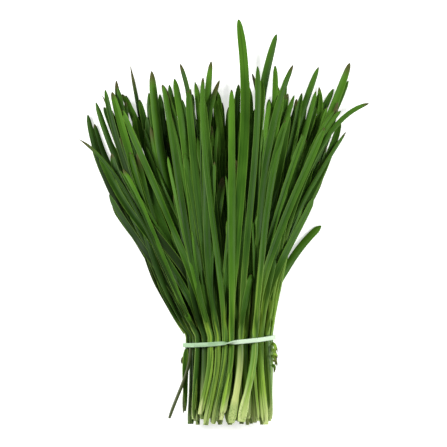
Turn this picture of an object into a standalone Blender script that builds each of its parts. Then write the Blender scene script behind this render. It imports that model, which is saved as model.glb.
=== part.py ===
"""A bunch of garlic chives lying on its side, tied with one flat elastic band.

Each shoot is one solid: a pale sheath, cut off at its lower end, with the strap-shaped leaves
that grow out of its mouth. The shoots are stacked in rows under the band. Past the band their
leaves fan out and settle on each other, from the lowest row up, so that no two shoots meet.

Metres, +Z up. +Y runs from the cut ends to the leaf tips. The origin is under the middle of
the band, on the surface that the bunch lies on.
"""

import math
from dataclasses import dataclass, field

import bmesh
import bpy
import numpy as np
from mathutils.geometry import convex_hull_2d

MM = 0.001
SEED = 11
CLEAR = 0.3 * MM  # kept between pieces that touch

# Elastic band.
BAND_WIDTH = 3.2 * MM
BAND_THICK = 1.2 * MM
BAND_SLANT = math.radians(5)
BAND_BOW = 0.6 * MM  # its two ends stand this much further along +Y than its middle
BAND_STEPS = 72
TWISTS = ((-1.0, 34.0, 20.0), (-31.0, 8.0, 15.0))  # half turns: near x, near z and length, mm

# Shoots under the band.
ROW_COUNTS = (9, 11, 12, 11, 9, 6)  # from the table up
ROW_PITCH = 5.0 * MM
SHEATH_WIDTH = (4.1 * MM, 5.6 * MM)  # thinnest and widest
SHEATH_GAP = (0.35 * MM, 0.95 * MM)  # between neighbours
SHEATH_THICK = 4.4 * MM
SHEATH_PROFILE = ((-1, 0), (-0.62, 1), (0.62, 1), (1, 0), (0.62, -1), (-0.62, -1))
BAND_GAP = 0.5 * MM  # between the band and the sheaths in it
LOWEST_ROW_Z = BAND_THICK + BAND_GAP + SHEATH_THICK / 2
CUT_END_Y = -57.0 * MM
CUT_END_SPREAD = 4.5 * MM
MOUTH_Y = 14.0 * MM  # of the lowest row; each row above ends a little sooner
MOUTH_STEP = 0.9 * MM
MOUTH_SPREAD = 0.4 * MM
STRAIGHT_Y = 4.0 * MM  # the sheaths fan out past here
HALF_BUNCH = 33.0 * MM
EDGE_X = 24.0 * MM  # the shoots past here make the edges of the fan

# Leaves.
LEAF_THICK = 0.65 * MM
LEAF_PITCH = 1.2 * MM  # between the leaves stacked in one sheath
LEAF_WIDTH = (4.9 * MM, 6.6 * MM)
LEAF_COUNTS = (3, 3, 3, 2)
EDGE_LEAVES = 4  # in the shoots at both ends of a row
ROOT_LENGTH = 9.0 * MM  # of a leaf inside its sheath
ROOT_FIT = (0.85, 0.85, 0.95)  # most width at the first stations, as a share of the sheath's
STATIONS = (0.0, 0.09, 0.24, 0.46, 0.7, 0.92, 1.0)
FIRST_RISE = 15.0 * MM  # the first station past the mouth is at least this far from it
TAPER = (0.7, 0.78, 0.94, 1.0, 0.98, 0.88, 0.32)
ROLL_SPREAD = math.radians(26)
ROLL_MOST = math.radians(50)
ROLL_BUILD = (0, 0, 0, 0.5, 1.0, 0.95, 0.8, 0.7)  # share of a leaf's roll, from its root on
LOOSENESS = (0.0, 0.0, 0.2, 0.4, 0.55, 0.7)  # of each row's leaves, which else lie flat
STEEPEST = 0.3  # slope of a leaf up or down the pile

# Fan. Leans are in radians, positive towards +X.
CROWN_LEFT = -107.0 * MM
CROWN_RIGHT = 86.0 * MM
CROWN_Y = 193.0 * MM
NOTCH = (-2.0 * MM, 7.0 * MM, 22.0 * MM)  # in the crown: its x, half width and depth
LEFT_START_LEAN = -0.64
RIGHT_START_LEAN = 0.14
TIP_WANDER = 9.0 * MM
ROW_WANDER = 0.2  # how much more a leaf strays for each row that it is higher up

# Leaves that stand out, short ones on top and then tall ones: tip x and y in mm, lean of the tip
# in degrees, width in mm.
OUTSTANDING_LEAVES = (
    (16, 50, 3, 4.9),
    (9, 85, 2, 5.4),
    (22, 94, 12, 4.9),
    (41, 118, 2, 5.6),
    (52, 120, 27, 5.0),
    (-18, 143, -3, 5.6),
    (-42, 128, -24, 5.4),
    (-111, 149, -60, 2.6),
    (-104, 167, -8, 5.0),
    (-98, 176, -18, 4.8),
    (-94, 182, -30, 3.2),
    (-91, 185, -12, 4.8),
    (-83, 192, -5, 4.8),
    (-79, 182, -32, 5.6),
    (-73, 204, -12, 3.0),
    (-59, 183, -2, 4.6),
    (-57, 199, -6, 6.6),
    (-48, 188, -10, 4.8),
    (-40, 193, -12, 6.4),
    (-36, 204, -18, 5.0),
    (-25, 191, -6, 3.6),
    (-19, 194, 2, 4.4),
    (-13, 206, 9, 5.2),
    (-7, 192, 24, 4.4),
    (2, 185, 0, 5.2),
    (7, 237, -10, 7.0),
    (17, 197, -16, 4.0),
    (21, 202, -2, 4.8),
    (35, 226, 17, 6.2),
    (34, 203, -2, 5.0),
    (47, 203, 24, 5.0),
    (48, 181, 20, 4.6),
    (66, 202, 22, 5.2),
    (64, 184, 16, 4.4),
    (89, 205, 20, 6.2),
    (88, 192, 24, 4.6),
    (103, 175, 76, 4.0),
    (86, 154, 32, 3.4),
    (68, 85, 52, 5.8),
    (-90, 119, -22, 5.2),
    (-88, 108, -27, 4.8),
    (-86, 100, -32, 4.4),
    (-95, 136, -22, 5.4),
    (-101, 150, -12, 5.2),
    (-99, 160, -10, 5.6),
    (62, 106, 24, 5.2),
    (69, 124, 20, 5.6),
    (76, 143, 18, 5.4),
    (82, 162, 14, 5.6),
    (80, 176, 10, 5.2),
    (-66, 178, -12, 5.4),
    (-70, 166, -6, 5.6),
    (-64, 154, -20, 5.8),
    (-78, 170, -22, 5.2),
    (-75, 152, -8, 5.6),
    (-84, 160, -16, 5.4),
    (-86, 138, -10, 5.6),
    (60, 168, 14, 5.6),
    (70, 157, 22, 5.4),
    (57, 148, 28, 5.8),
    (44, 172, 6, 5.6),
    (-51, 182, -6, 5.8),
    (-44, 189, -8, 5.4),
    (-58, 174, -10, 5.6),
    (-93, 160, -20, 5.4),
    (-76, 181, -18, 5.2),
    (-72, 158, -14, 5.6),
    (15, 187, -3, 5.6),
    (28, 201, 9, 5.4),
    (48, 166, 12, 5.6),
    (64, 172, 18, 5.6),
    (77, 186, 26, 5.6),
    (-30, 184, -4, 5.6),
)

# Where each row's cut ends lie: x there is x under the band times the first, plus the second.
ROW_SPLAY = (
    (1.04, 0.5 * MM),
    (1.03, -0.6 * MM),
    (0.96, 0.0),
    (1.04, 1.0 * MM),
    (1.14, 0.6 * MM),
    (1.02, -8.0 * MM),
)
# Sheaths that aren't like the rest: row and place, then what differs.
ODD_SHEATHS = {
    (3, 0): {"cut_x": -44 * MM, "cut_y": -56 * MM, "width": 2.6 * MM, "thick": 2.4 * MM},
    (2, 0): {"cut_x": -33 * MM, "cut_y": -51 * MM, "width": 3.4 * MM, "thick": 3.2 * MM},
    (5, 4): {"x": 8.5 * MM, "cut_x": 2.0 * MM, "cut_y": -59 * MM, "swell": 1.35},
    (5, 5): {"x": 18.8 * MM, "cut_x": 9.2 * MM, "cut_y": -58 * MM, "swell": 1.35},
}

# The pile of leaves, as a height on a square grid.
CELL = 0.35 * MM
PILE_LOW = np.array([-130.0, -5.0]) * MM
PILE_CELLS = (730, 740)
TIP_LIFT = 10.0 * MM  # of the topmost leaves' tips over the table
FREE_LENGTH = 7.0 * MM  # past the mouth, where the leaves still lie as they were stacked

LEAF_GREENS = ((0.035, 0.12, 0.018), (0.055, 0.17, 0.022), (0.09, 0.22, 0.03))
BAND_MINT = (0.62, 0.82, 0.62)


@dataclass
class Leaf:
    """A strap: its centre line, width and roll at each station, from root to tip."""

    points: np.ndarray
    widths: np.ndarray
    rolls: np.ndarray
    shares: np.ndarray  # how far along the leaf its stations past the mouth are, from 0 to 1


@dataclass
class Shoot:
    """One shoot: where it passes under the band, its sheath's ends and its leaves."""

    row: int
    place: int
    x: float
    z: float
    cut_x: float  # where the sheath's line, made longer or shorter, meets CUT_END_Y
    cut_y: float
    mouth_y: float
    width: float
    thick: float = SHEATH_THICK
    swell: float = 1.0
    leaves: list = field(default_factory=list)


def packed_shoots(rng):
    """The shoots in their rows under the band, without leaves."""
    shoots = []
    for row, count in enumerate(ROW_COUNTS):
        widths = rng.uniform(*SHEATH_WIDTH, count)
        gaps = rng.uniform(*SHEATH_GAP, count)
        right = np.cumsum(widths + gaps) - gaps
        middles = right - widths / 2 - right[-1] / 2
        for place, (x, width) in enumerate(zip(middles, widths)):
            shoot = Shoot(
                row=row,
                place=place,
                x=x,
                z=LOWEST_ROW_Z + row * ROW_PITCH,
                cut_x=x * ROW_SPLAY[row][0] + ROW_SPLAY[row][1],
                cut_y=CUT_END_Y + rng.uniform(-1, 1) * CUT_END_SPREAD,
                mouth_y=MOUTH_Y - row * MOUTH_STEP + rng.uniform(-1, 1) * MOUTH_SPREAD,
                width=width,
            )
            for name, value in ODD_SHEATHS.get((row, place), {}).items():
                setattr(shoot, name, value)
            shoots.append(shoot)
    return shoots


def start_lean(x):
    """The lean with which a leaf leaves the band. It grows with x, so neighbours part."""
    side = x / HALF_BUNCH
    return side * (RIGHT_START_LEAN if side > 0 else -LEFT_START_LEAN)


def crown_point(shoot, rng, turn):
    """Where a leaf that isn't outstanding ends: (x, y) and the lean of its tip."""
    side = shoot.x / HALF_BUNCH
    x = side * (CROWN_RIGHT if side > 0 else -CROWN_LEFT)
    x += turn * rng.uniform(0.3, 1.6) * TIP_WANDER * (0.4 + ROW_WANDER * shoot.row)
    x = min(max(x, CROWN_LEFT), CROWN_RIGHT)
    short = rng.uniform(0, 1) ** 1.7 * 78 * MM + abs(x) * 0.12 + rng.normal(0, 4 * MM)
    notch = NOTCH[2] * math.exp(-(((x - NOTCH[0]) / NOTCH[1]) ** 2))
    y = CROWN_Y - max(short, notch)
    spread = (y / CROWN_Y) ** 0.9
    lean = math.atan2(x - shoot.x, y) * rng.uniform(0.3, 1.0) + rng.normal(0, 0.13)
    return np.array([x * spread, y]), lean


def along_sheath(shoot, y):
    """Where the sheath's centre line is at a y past the band, in plan."""
    return np.array([shoot.x + (y - STRAIGHT_Y) * math.tan(start_lean(shoot.x)), y])


def station_shares(shoot, tip):
    """How far along a leaf its stations are. On a short leaf they stand further from the mouth."""
    length = np.linalg.norm(tip - along_sheath(shoot, shoot.mouth_y))
    shares = np.array(STATIONS)
    first = max(shares[1], FIRST_RISE / length)
    shares[1:] = first + (1 - first) * (shares[1:] - shares[1]) / (1 - shares[1])
    return shares


def path_in_plan(shoot, tip, tip_lean, shares):
    """The leaf's stations seen from above: a cubic curve from the sheath's mouth to its tip."""
    start = along_sheath(shoot, shoot.mouth_y)
    length = np.linalg.norm(tip - start)
    lean = start_lean(shoot.x)
    tip_handle = length * (0.33 if abs(tip_lean) < math.radians(45) else 0.24)
    ahead = start + length * 0.37 * np.array([math.sin(lean), math.cos(lean)])
    behind = tip - tip_handle * np.array([math.sin(tip_lean), math.cos(tip_lean)])
    t = shares[:, None]
    return (
        (1 - t) ** 3 * start
        + 3 * (1 - t) ** 2 * t * ahead
        + 3 * (1 - t) * t**2 * behind
        + t**3 * tip
    )


def outstanding_tips(shoots):
    """Each outstanding leaf's shoot, the nearest below it in the fan with a leaf to spare."""
    given = {id(shoot): [] for shoot in shoots}
    for x, y, lean, width in OUTSTANDING_LEAVES:
        reach = x * MM / (CROWN_RIGHT if x > 0 else -CROWN_LEFT) * HALF_BUNCH
        reach *= CROWN_Y / max(y * MM, 120 * MM)
        best = min(
            (s for s in shoots if len(given[id(s)]) < 2 and s.width >= SHEATH_WIDTH[0]),
            key=lambda s: abs(s.x - reach) + 1.2 * MM * (5 - s.row) + 4 * MM * len(given[id(s)]),
        )
        given[id(best)].append((np.array([x, y]) * MM, math.radians(lean), width * MM))
    return given


def grow_leaves(shoots, rng):
    """Gives each shoot its leaves in plan, lowest first. Their heights come from settle."""
    given = outstanding_tips(shoots)
    for shoot in shoots:
        count = max(int(rng.choice(LEAF_COUNTS)), len(given[id(shoot)]))
        if shoot.width < SHEATH_WIDTH[0]:
            count = round(shoot.thick / LEAF_PITCH)
        elif abs(shoot.x) > EDGE_X:
            count = EDGE_LEAVES
        special = given[id(shoot)]
        for index in range(count):
            turn = 1 if (index + shoot.place) % 2 else -1
            tip, lean = crown_point(shoot, rng, turn)
            width = rng.uniform(*LEAF_WIDTH)
            if count - index <= len(special):
                tip, lean, width = special[count - index - 1]
            shares = station_shares(shoot, tip)
            plan = path_in_plan(shoot, tip, lean, shares)
            root = along_sheath(shoot, shoot.mouth_y - 0.6 * ROOT_LENGTH)
            level = shoot.z + (index - (count - 1) / 2) * LEAF_PITCH
            points = np.zeros((len(STATIONS) + 1, 3))
            points[:, :2] = np.vstack([root, plan])
            points[:, 2] = level
            widths = width * np.array([TAPER[0], *TAPER])
            widths[:3] = np.minimum(widths[:3], shoot.width * np.array(ROOT_FIT))
            roll = np.clip(rng.normal(0, ROLL_SPREAD), -ROLL_MOST, ROLL_MOST)
            rolls = roll * np.array(ROLL_BUILD)
            shoot.leaves.append(Leaf(points, widths, rolls, shares))


def leaf_corners(leaf):
    """(stations, 4, 3): upper left, upper right, lower right and lower left corner."""
    along = np.gradient(leaf.points, axis=0)
    along[0] = leaf.points[1] - leaf.points[0]
    along /= np.linalg.norm(along, axis=1)[:, None]
    level = np.cross(along, [0, 0, 1])
    level /= np.linalg.norm(level, axis=1)[:, None]
    upright = np.cross(level, along)
    turn = leaf.rolls[:, None]
    side = np.cos(turn) * level + np.sin(turn) * upright
    face = -np.sin(turn) * level + np.cos(turn) * upright
    half_width = side * leaf.widths[:, None] / 2
    half_thick = face * LEAF_THICK / 2
    return np.stack(
        [
            leaf.points - half_width + half_thick,
            leaf.points + half_width + half_thick,
            leaf.points + half_width - half_thick,
            leaf.points - half_width - half_thick,
        ],
        axis=1,
    )


def rings_along(leaf, step):
    """Places along a leaf's stations, and rows of points there on its upper and lower face."""
    corners = leaf_corners(leaf)
    last = len(leaf.points) - 1
    length = np.linalg.norm(leaf.points[-1] - leaf.points[1])
    place = np.linspace(1, last, int(1.3 * length / step))
    first = np.minimum(place.astype(int), last - 1)
    v = (place - first)[:, None, None]
    u = np.linspace(0, 1, int(7 * MM / step))[None, :, None]
    faces = []
    for left, right in ((0, 1), (3, 2)):
        low_left, low_right = corners[first, left, None], corners[first, right, None]
        high_left, high_right = corners[first + 1, left, None], corners[first + 1, right, None]
        near = low_left + u * (low_right - low_left) + v * (high_right - low_right)
        far = low_left + v * (high_left - low_left) + u * (high_right - high_left)
        faces.append(np.where(u >= v, near, far))
    return place, *faces


class Pile:
    """The height of the leaves laid so far, over the table."""

    def __init__(self):
        self.height = np.full(PILE_CELLS, -CLEAR)

    def cells(self, points):
        index = np.round((points[..., :2] - PILE_LOW) / CELL).astype(int)
        index = np.clip(index, 0, np.array(PILE_CELLS) - 1)
        return index[..., 0], index[..., 1]

    def at(self, points):
        return self.height[self.cells(points)]

    def add(self, leaf):
        _, upper, lower = rings_along(leaf, 0.6 * CELL)
        for face in (upper, lower):
            np.maximum.at(self.height, self.cells(face), face[..., 2])


def nestle(pile, leaf, looseness):
    """Turns a leaf's stations towards the slope of what lies under its two edges."""
    corners = leaf_corners(leaf)
    for k in range(2, len(leaf.points)):
        step = leaf.points[k] - leaf.points[k - 1]
        under = []
        for edge in (0, 1):
            line = corners[k, edge] + np.linspace(-0.35, 0.1, 9)[:, None] * step
            under.append(pile.at(line).mean())
        slope = math.atan2(under[1] - under[0], leaf.widths[k])
        lying = np.clip(slope, -ROLL_MOST, ROLL_MOST) * 0.8 * min(1.0, 1.6 * ROLL_BUILD[k])
        leaf.rolls[k] = leaf.rolls[k] * looseness + lying * (1 - looseness)


def settle(shoots, rng):
    """Lays the leaves on the table and on each other, lowest level first."""
    pile = Pile()
    laid = [(leaf.points[0, 2], leaf, shoot) for shoot in shoots for leaf in shoot.leaves]
    laid.sort(key=lambda item: round(item[0] / MM, 2))
    top = LOWEST_ROW_Z + len(ROW_COUNTS) * ROW_PITCH
    for start, leaf, shoot in laid:
        end = LEAF_THICK / 2 + TIP_LIFT * (start / top) ** 1.5 * rng.uniform(0.4, 1.3)
        t = leaf.shares
        droop = start + (end - start) * (1.35 * t - 0.35 * t**3)
        leaf.points[1:, 2] = np.maximum(droop, LEAF_THICK / 2)
        nestle(pile, leaf, LOOSENESS[shoot.row])
        raise_clear(pile, leaf)
        pile.add(leaf)


def raise_clear(pile, leaf):
    """Raises a leaf's stations past its mouth until no part of it is in the pile."""
    run = np.linalg.norm(np.diff(leaf.points[:, :2], axis=0), axis=1)
    height = leaf.points[:, 2]
    for _ in range(90):
        place, upper, lower = rings_along(leaf, CELL)
        need = np.maximum(pile.at(upper) - upper[..., 2], pile.at(lower) - lower[..., 2])
        need = need.max(axis=1) + CLEAR
        need[lower[..., 1].min(axis=1) < leaf.points[1, 1] + FREE_LENGTH] = -1
        if need.max() < 0.02 * MM:
            return
        lift = np.zeros(len(height))
        for where, rise in zip(place[need > 0], need[need > 0]):
            before = min(int(where), len(height) - 2)
            share = where - before
            if before == 1:
                lift[2] = max(lift[2], rise / max(share, 0.4))
                continue
            reach = (1 - share) ** 2 + share**2
            lift[before] = max(lift[before], rise * (1 - share) / reach)
            lift[before + 1] = max(lift[before + 1], rise * share / reach)
        height[2:] += lift[2:] * 0.6 + 0.01 * MM * (lift[2:] > 0)
        for k in range(len(height) - 2, 1, -1):
            height[k] = max(height[k], height[k + 1] - STEEPEST * run[k])
        for k in range(3, len(height)):
            height[k] = max(height[k], height[k - 1] - STEEPEST * run[k - 1])


def material(name, colour, roughness):
    made = bpy.data.materials.new(name)
    made.use_nodes = True
    shader = made.node_tree.nodes["Principled BSDF"]
    shader.inputs["Base Color"].default_value = (*colour, 1)
    shader.inputs["Roughness"].default_value = roughness
    return made


def swept(name, rings, closed=False):
    """An object whose faces join each ring of points to the next.

    The quads of the first half of a ring are cut one way and those of the second half the other
    way, so that the two faces of a thin twisted strap stay parallel.
    """
    shape = bmesh.new()
    verts = [[shape.verts.new(point) for point in ring] for ring in rings]
    sides = len(verts[0])
    pairs = list(zip(verts, verts[1:]))
    if closed:
        pairs.append((verts[-1], verts[0]))
    for low, high in pairs:
        for i in range(sides):
            j = (i + 1) % sides
            if i < sides / 2:
                shape.faces.new((low[i], low[j], high[j]))
                shape.faces.new((low[i], high[j], high[i]))
            else:
                shape.faces.new((low[i], low[j], high[i]))
                shape.faces.new((low[j], high[j], high[i]))
    if not closed:
        shape.faces.new(reversed(verts[0]))
        shape.faces.new(verts[-1])
    bmesh.ops.recalc_face_normals(shape, faces=shape.faces)
    mesh = bpy.data.meshes.new(name)
    shape.to_mesh(mesh)
    shape.free()
    return bpy.data.objects.new(name, mesh)


def sheath(shoot):
    """The closed lower part of a shoot: a six-sided tube, down to its flat cut."""
    drop = LOWEST_ROW_Z - SHEATH_THICK / 2
    mouth = along_sheath(shoot, shoot.mouth_y)
    reach = (shoot.cut_y + STRAIGHT_Y) / (CUT_END_Y + STRAIGHT_Y)
    cut_x = shoot.x + (shoot.cut_x - shoot.x) * reach
    stations = [
        (cut_x, shoot.cut_y, shoot.z - drop, shoot.swell),
        (shoot.x, -STRAIGHT_Y, shoot.z, 1.0),
        (shoot.x, STRAIGHT_Y, shoot.z, 1.0),
        (*mouth, shoot.z, 1.0),
    ]
    if shoot.swell > 1:
        for share, swell in ((0.38, 1.0), (0.2, shoot.swell)):
            x = cut_x + (shoot.x - cut_x) * share
            y = shoot.cut_y - (STRAIGHT_Y + shoot.cut_y) * share
            stations.insert(1, (x, y, shoot.z - drop * (1 - share), swell))
    rings = []
    for x, y, z, swell in stations:
        across = shoot.width / 2 * swell
        up = shoot.thick / 2
        rings.append([(x + a * across, y, z + b * up) for a, b in SHEATH_PROFILE])
    return swept("sheath", rings)


def join_leaves(body, leaves):
    """One Boolean union of a sheath with its leaves."""
    scene = bpy.context.scene.collection
    group = bpy.data.collections.new("leaves")
    scene.children.link(group)
    for leaf in leaves:
        group.objects.link(swept("leaf", leaf_corners(leaf).tolist()))
    union = body.modifiers.new("union", "BOOLEAN")
    union.operation = "UNION"
    union.operand_type = "COLLECTION"
    union.collection = group
    union.solver = "EXACT"
    graph = bpy.context.evaluated_depsgraph_get()
    joined = bpy.data.meshes.new_from_object(body.evaluated_get(graph))
    body.modifiers.clear()
    body.data = joined
    for obj in list(group.objects):
        bpy.data.objects.remove(obj)
    bpy.data.collections.remove(group)


def build_shoot(shoot, number, greens):
    body = sheath(shoot)
    body.name = f"shoot_{number:02d}"
    bpy.context.scene.collection.objects.link(body)
    join_leaves(body, shoot.leaves)
    body.data.materials.clear()
    body.data.materials.append(greens[number % len(greens)])


def band_outline(shoots):
    """The closed line round the sheaths at the band, clear of them, evenly spaced, from below."""
    angles = np.linspace(0, 2 * math.pi, 24, endpoint=False)
    points = []
    for shoot in shoots:
        for across, up in SHEATH_PROFILE:
            corner = (shoot.x + across * shoot.width / 2, shoot.z + up * shoot.thick / 2)
            for angle in angles:
                out = np.array([math.cos(angle), math.sin(angle)])
                points.append(corner + out * (BAND_GAP + BAND_THICK / 2))
    hull = np.array([points[i] for i in convex_hull_2d([tuple(p) for p in points])])
    lowest = np.argmin(hull[:, 1] + abs(hull[:, 0]) * 0.01)
    hull = np.roll(hull, -lowest, axis=0)
    ring = np.vstack([hull, hull[:1]])
    length = np.concatenate([[0], np.cumsum(np.linalg.norm(np.diff(ring, axis=0), axis=1))])
    places = np.linspace(0, length[-1], BAND_STEPS, endpoint=False)
    return np.stack([np.interp(places, length, ring[:, k]) for k in (0, 1)], axis=1), places


def elastic_band(shoots):
    """The rings of the flat band round all the shoots, with a half turn on top and one below."""
    outline, places = band_outline(shoots)
    along = np.roll(outline, -1, axis=0) - np.roll(outline, 1, axis=0)
    along /= np.linalg.norm(along, axis=1)[:, None]
    outwards = np.stack([along[:, 1], -along[:, 0]], axis=1)
    if ((outline - outline.mean(axis=0)) * outwards).sum() < 0:
        outwards = -outwards
    turns = np.zeros(len(outline))
    for x, z, length in TWISTS:
        middle = np.argmin(np.linalg.norm(outline - np.array([x, z]) * MM, axis=1))
        share = (places - places[middle]) / (length * MM) + 0.5
        turns += math.pi * np.clip(share, 0, 1)
    wide = BAND_WIDTH / 2
    thin = BAND_THICK / 2
    rings = []
    for place, out, turn in zip(outline, outwards, turns):
        y = place[0] * math.tan(BAND_SLANT) + BAND_BOW * ((place[0] / HALF_BUNCH) ** 2 - 0.5)
        reach = abs(wide * math.sin(turn)) + abs(thin * math.cos(turn)) - thin
        ring = []
        for a, b in ((-wide, -thin), (wide, -thin), (wide, thin), (-wide, thin)):
            flat = a * math.cos(turn) - b * math.sin(turn)
            away = a * math.sin(turn) + b * math.cos(turn) + reach
            ring.append((place[0] + away * out[0], y + flat, place[1] + away * out[1]))
        rings.append(ring)
    return rings


def main():
    for obj in list(bpy.data.objects):
        bpy.data.objects.remove(obj)
    rng = np.random.default_rng(SEED)
    shoots = packed_shoots(rng)
    grow_leaves(shoots, rng)
    settle(shoots, rng)
    greens = [material(f"leaf_green_{i}", c, 0.45) for i, c in enumerate(LEAF_GREENS)]
    for number, shoot in enumerate(shoots, 1):
        build_shoot(shoot, number, greens)
    band = swept("elastic_band", elastic_band(shoots), closed=True)
    band.data.materials.append(material("band_mint", BAND_MINT, 0.5))
    bpy.context.scene.collection.objects.link(band)


main()
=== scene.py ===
"""The looks of a bunch of garlic chives that lies on its side, tied with one elastic band.

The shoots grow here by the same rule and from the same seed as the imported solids, so every leaf
keeps its place. Each is then shaped finer: a sheath with an overlapping margin and a layered cut
end, and blades that open out of its mouth, with a crease, wavy edges and a rounded tip.
"""

import logging
import math
from collections.abc import Callable
from dataclasses import dataclass, field, fields
from enum import Enum
from functools import partial

import bmesh
import bpy
import numpy as np
from bpy.types import Material, Mesh, Node, NodeSocket, NodeTree, Object
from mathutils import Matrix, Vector
from mathutils.geometry import convex_hull_2d


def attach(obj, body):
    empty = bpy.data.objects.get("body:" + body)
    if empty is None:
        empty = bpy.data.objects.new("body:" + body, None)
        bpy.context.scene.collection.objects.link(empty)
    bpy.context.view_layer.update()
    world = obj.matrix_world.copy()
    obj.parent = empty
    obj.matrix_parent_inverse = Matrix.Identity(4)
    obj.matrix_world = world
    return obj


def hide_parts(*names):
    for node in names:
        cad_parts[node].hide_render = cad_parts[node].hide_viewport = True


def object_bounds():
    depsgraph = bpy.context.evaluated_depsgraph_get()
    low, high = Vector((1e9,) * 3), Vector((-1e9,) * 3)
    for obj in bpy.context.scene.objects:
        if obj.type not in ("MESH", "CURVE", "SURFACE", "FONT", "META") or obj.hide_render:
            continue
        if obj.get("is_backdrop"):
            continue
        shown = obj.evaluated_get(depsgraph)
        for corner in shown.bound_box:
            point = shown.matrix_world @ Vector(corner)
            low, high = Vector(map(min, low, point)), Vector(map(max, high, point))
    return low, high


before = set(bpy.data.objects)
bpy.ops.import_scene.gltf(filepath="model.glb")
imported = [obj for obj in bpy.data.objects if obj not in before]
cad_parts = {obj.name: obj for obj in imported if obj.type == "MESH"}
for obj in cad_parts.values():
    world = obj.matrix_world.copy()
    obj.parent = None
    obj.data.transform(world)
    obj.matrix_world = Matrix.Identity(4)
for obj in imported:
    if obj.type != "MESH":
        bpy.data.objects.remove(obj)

MM = 0.001
LOG = logging.getLogger("chives")
BODY = "root"
TOP_ROW_Z = 32.0 * MM
# How far to the side a shoot's colours change.
SIDE_X = 25.0 * MM
# Painted shade: how much darker a shoot on the table is than one of the top row, which the shoots above
# it would shade.
BURIED_SHADE = 0.9
# A blade's crease lifts its edges by crease * (sqrt(across ** 2 + CREASE_SOFT) - CREASE_DEPTH).
CREASE_SOFT = 0.02
CREASE_DEPTH = 0.14
WHITE = (1.0, 1.0, 1.0, 1.0)
# The kinds of node that are used most.
MATH = "ShaderNodeMath"
VECTOR_MATH = "ShaderNodeVectorMath"
COMBINE = "ShaderNodeCombineXYZ"
RANGE = "ShaderNodeMapRange"
MIX = "ShaderNodeMix"
NOISE = "ShaderNodeTexNoise"
MAPPING = "ShaderNodeMapping"
ATTRIBUTE = "ShaderNodeAttribute"
BUMP = "ShaderNodeBump"
STORE = "GeometryNodeStoreNamedAttribute"
NewNode = Callable[..., Node]
Pair = tuple[float, float]

# Leaves that stand out, short ones on top and then tall ones: tip x and y in mm, lean of the tip
# in degrees, width in mm.
OUTSTANDING_LEAVES = (
    (16, 50, 3, 4.9), (9, 85, 2, 5.4), (22, 94, 12, 4.9), (41, 118, 2, 5.6), (52, 120, 27, 5.0),
    (-18, 143, -3, 5.6), (-42, 128, -24, 5.4), (-111, 149, -60, 2.6), (-104, 167, -8, 5.0),
    (-98, 176, -18, 4.8), (-94, 182, -30, 3.2), (-91, 185, -12, 4.8), (-83, 192, -5, 4.8),
    (-79, 182, -32, 5.6), (-73, 204, -12, 3.0), (-59, 183, -2, 4.6), (-57, 199, -6, 6.6),
    (-48, 188, -10, 4.8), (-40, 193, -12, 6.4), (-36, 204, -18, 5.0), (-25, 191, -6, 3.6),
    (-19, 194, 2, 4.4), (-13, 206, 9, 5.2), (-7, 192, 24, 4.4), (2, 185, 0, 5.2), (7, 237, -10, 7.0),
    (17, 197, -16, 4.0), (21, 202, -2, 4.8), (35, 226, 17, 6.2), (34, 203, -2, 5.0), (47, 203, 24, 5.0),
    (48, 181, 20, 4.6), (66, 202, 22, 5.2), (64, 184, 16, 4.4), (89, 205, 20, 6.2), (88, 192, 24, 4.6),
    (103, 175, 76, 4.0), (86, 154, 32, 3.4), (68, 85, 52, 5.8), (-90, 119, -22, 5.2),
    (-88, 108, -27, 4.8), (-86, 100, -32, 4.4), (-95, 136, -22, 5.4), (-101, 150, -12, 5.2),
    (-99, 160, -10, 5.6), (62, 106, 24, 5.2), (69, 124, 20, 5.6), (76, 143, 18, 5.4),
    (82, 162, 14, 5.6), (80, 176, 10, 5.2), (-66, 178, -12, 5.4), (-70, 166, -6, 5.6),
    (-64, 154, -20, 5.8), (-78, 170, -22, 5.2), (-75, 152, -8, 5.6), (-84, 160, -16, 5.4),
    (-86, 138, -10, 5.6), (60, 168, 14, 5.6), (70, 157, 22, 5.4), (57, 148, 28, 5.8), (44, 172, 6, 5.6),
    (-51, 182, -6, 5.8), (-44, 189, -8, 5.4), (-58, 174, -10, 5.6), (-93, 160, -20, 5.4),
    (-76, 181, -18, 5.2), (-72, 158, -14, 5.6), (15, 187, -3, 5.6), (28, 201, 9, 5.4),
    (48, 166, 12, 5.6), (64, 172, 18, 5.6), (77, 186, 26, 5.6), (-30, 184, -4, 5.6)
)
# Where each row's cut ends lie: x there is x under the band times the first, plus the second.
ROW_SPLAY = (
    (1.04, 0.5 * MM), (1.03, -0.6 * MM), (0.96, 0.0), (1.04, 1.0 * MM), (1.14, 0.6 * MM),
    (1.02, -8.0 * MM)
)


class Slot(Enum):
    """The record's material slots. The shoots take the first three in turn."""

    DEEP = "leaf_deep_green"
    MID = "leaf_mid_green"
    BRIGHT = "leaf_bright_green"
    BAND = "band_elastic"


class Dress(Enum):
    """What a sheath looks like. The value is (cream, dry), each from 0 to 1."""

    FRESH = (0.0, 0.0)
    CREAM = (1.0, 0.0)
    WITHERED = (0.0, 1.0)
    DARK = (0.0, 0.45)


# Sheaths that aren't like the rest: row and place, then what differs.
ODD_SHEATHS = {
    (3, 0): {
        "cut_x": -44 * MM, "cut_y": -56 * MM, "width": 2.6 * MM, "thick": 2.4 * MM,
        "dress": Dress.WITHERED
    },
    (2, 0): {
        "cut_x": -33 * MM, "cut_y": -51 * MM, "width": 3.4 * MM, "thick": 3.2 * MM, "dress": Dress.DARK
    },
    (5, 4): {"x": 8.5 * MM, "cut_x": 2.0 * MM, "cut_y": -59 * MM, "swell": 1.35, "dress": Dress.CREAM},
    (5, 5): {"x": 18.8 * MM, "cut_x": 9.2 * MM, "cut_y": -58 * MM, "swell": 1.35}
}


# ---------------------------------------------------------------- small helpers


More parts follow.
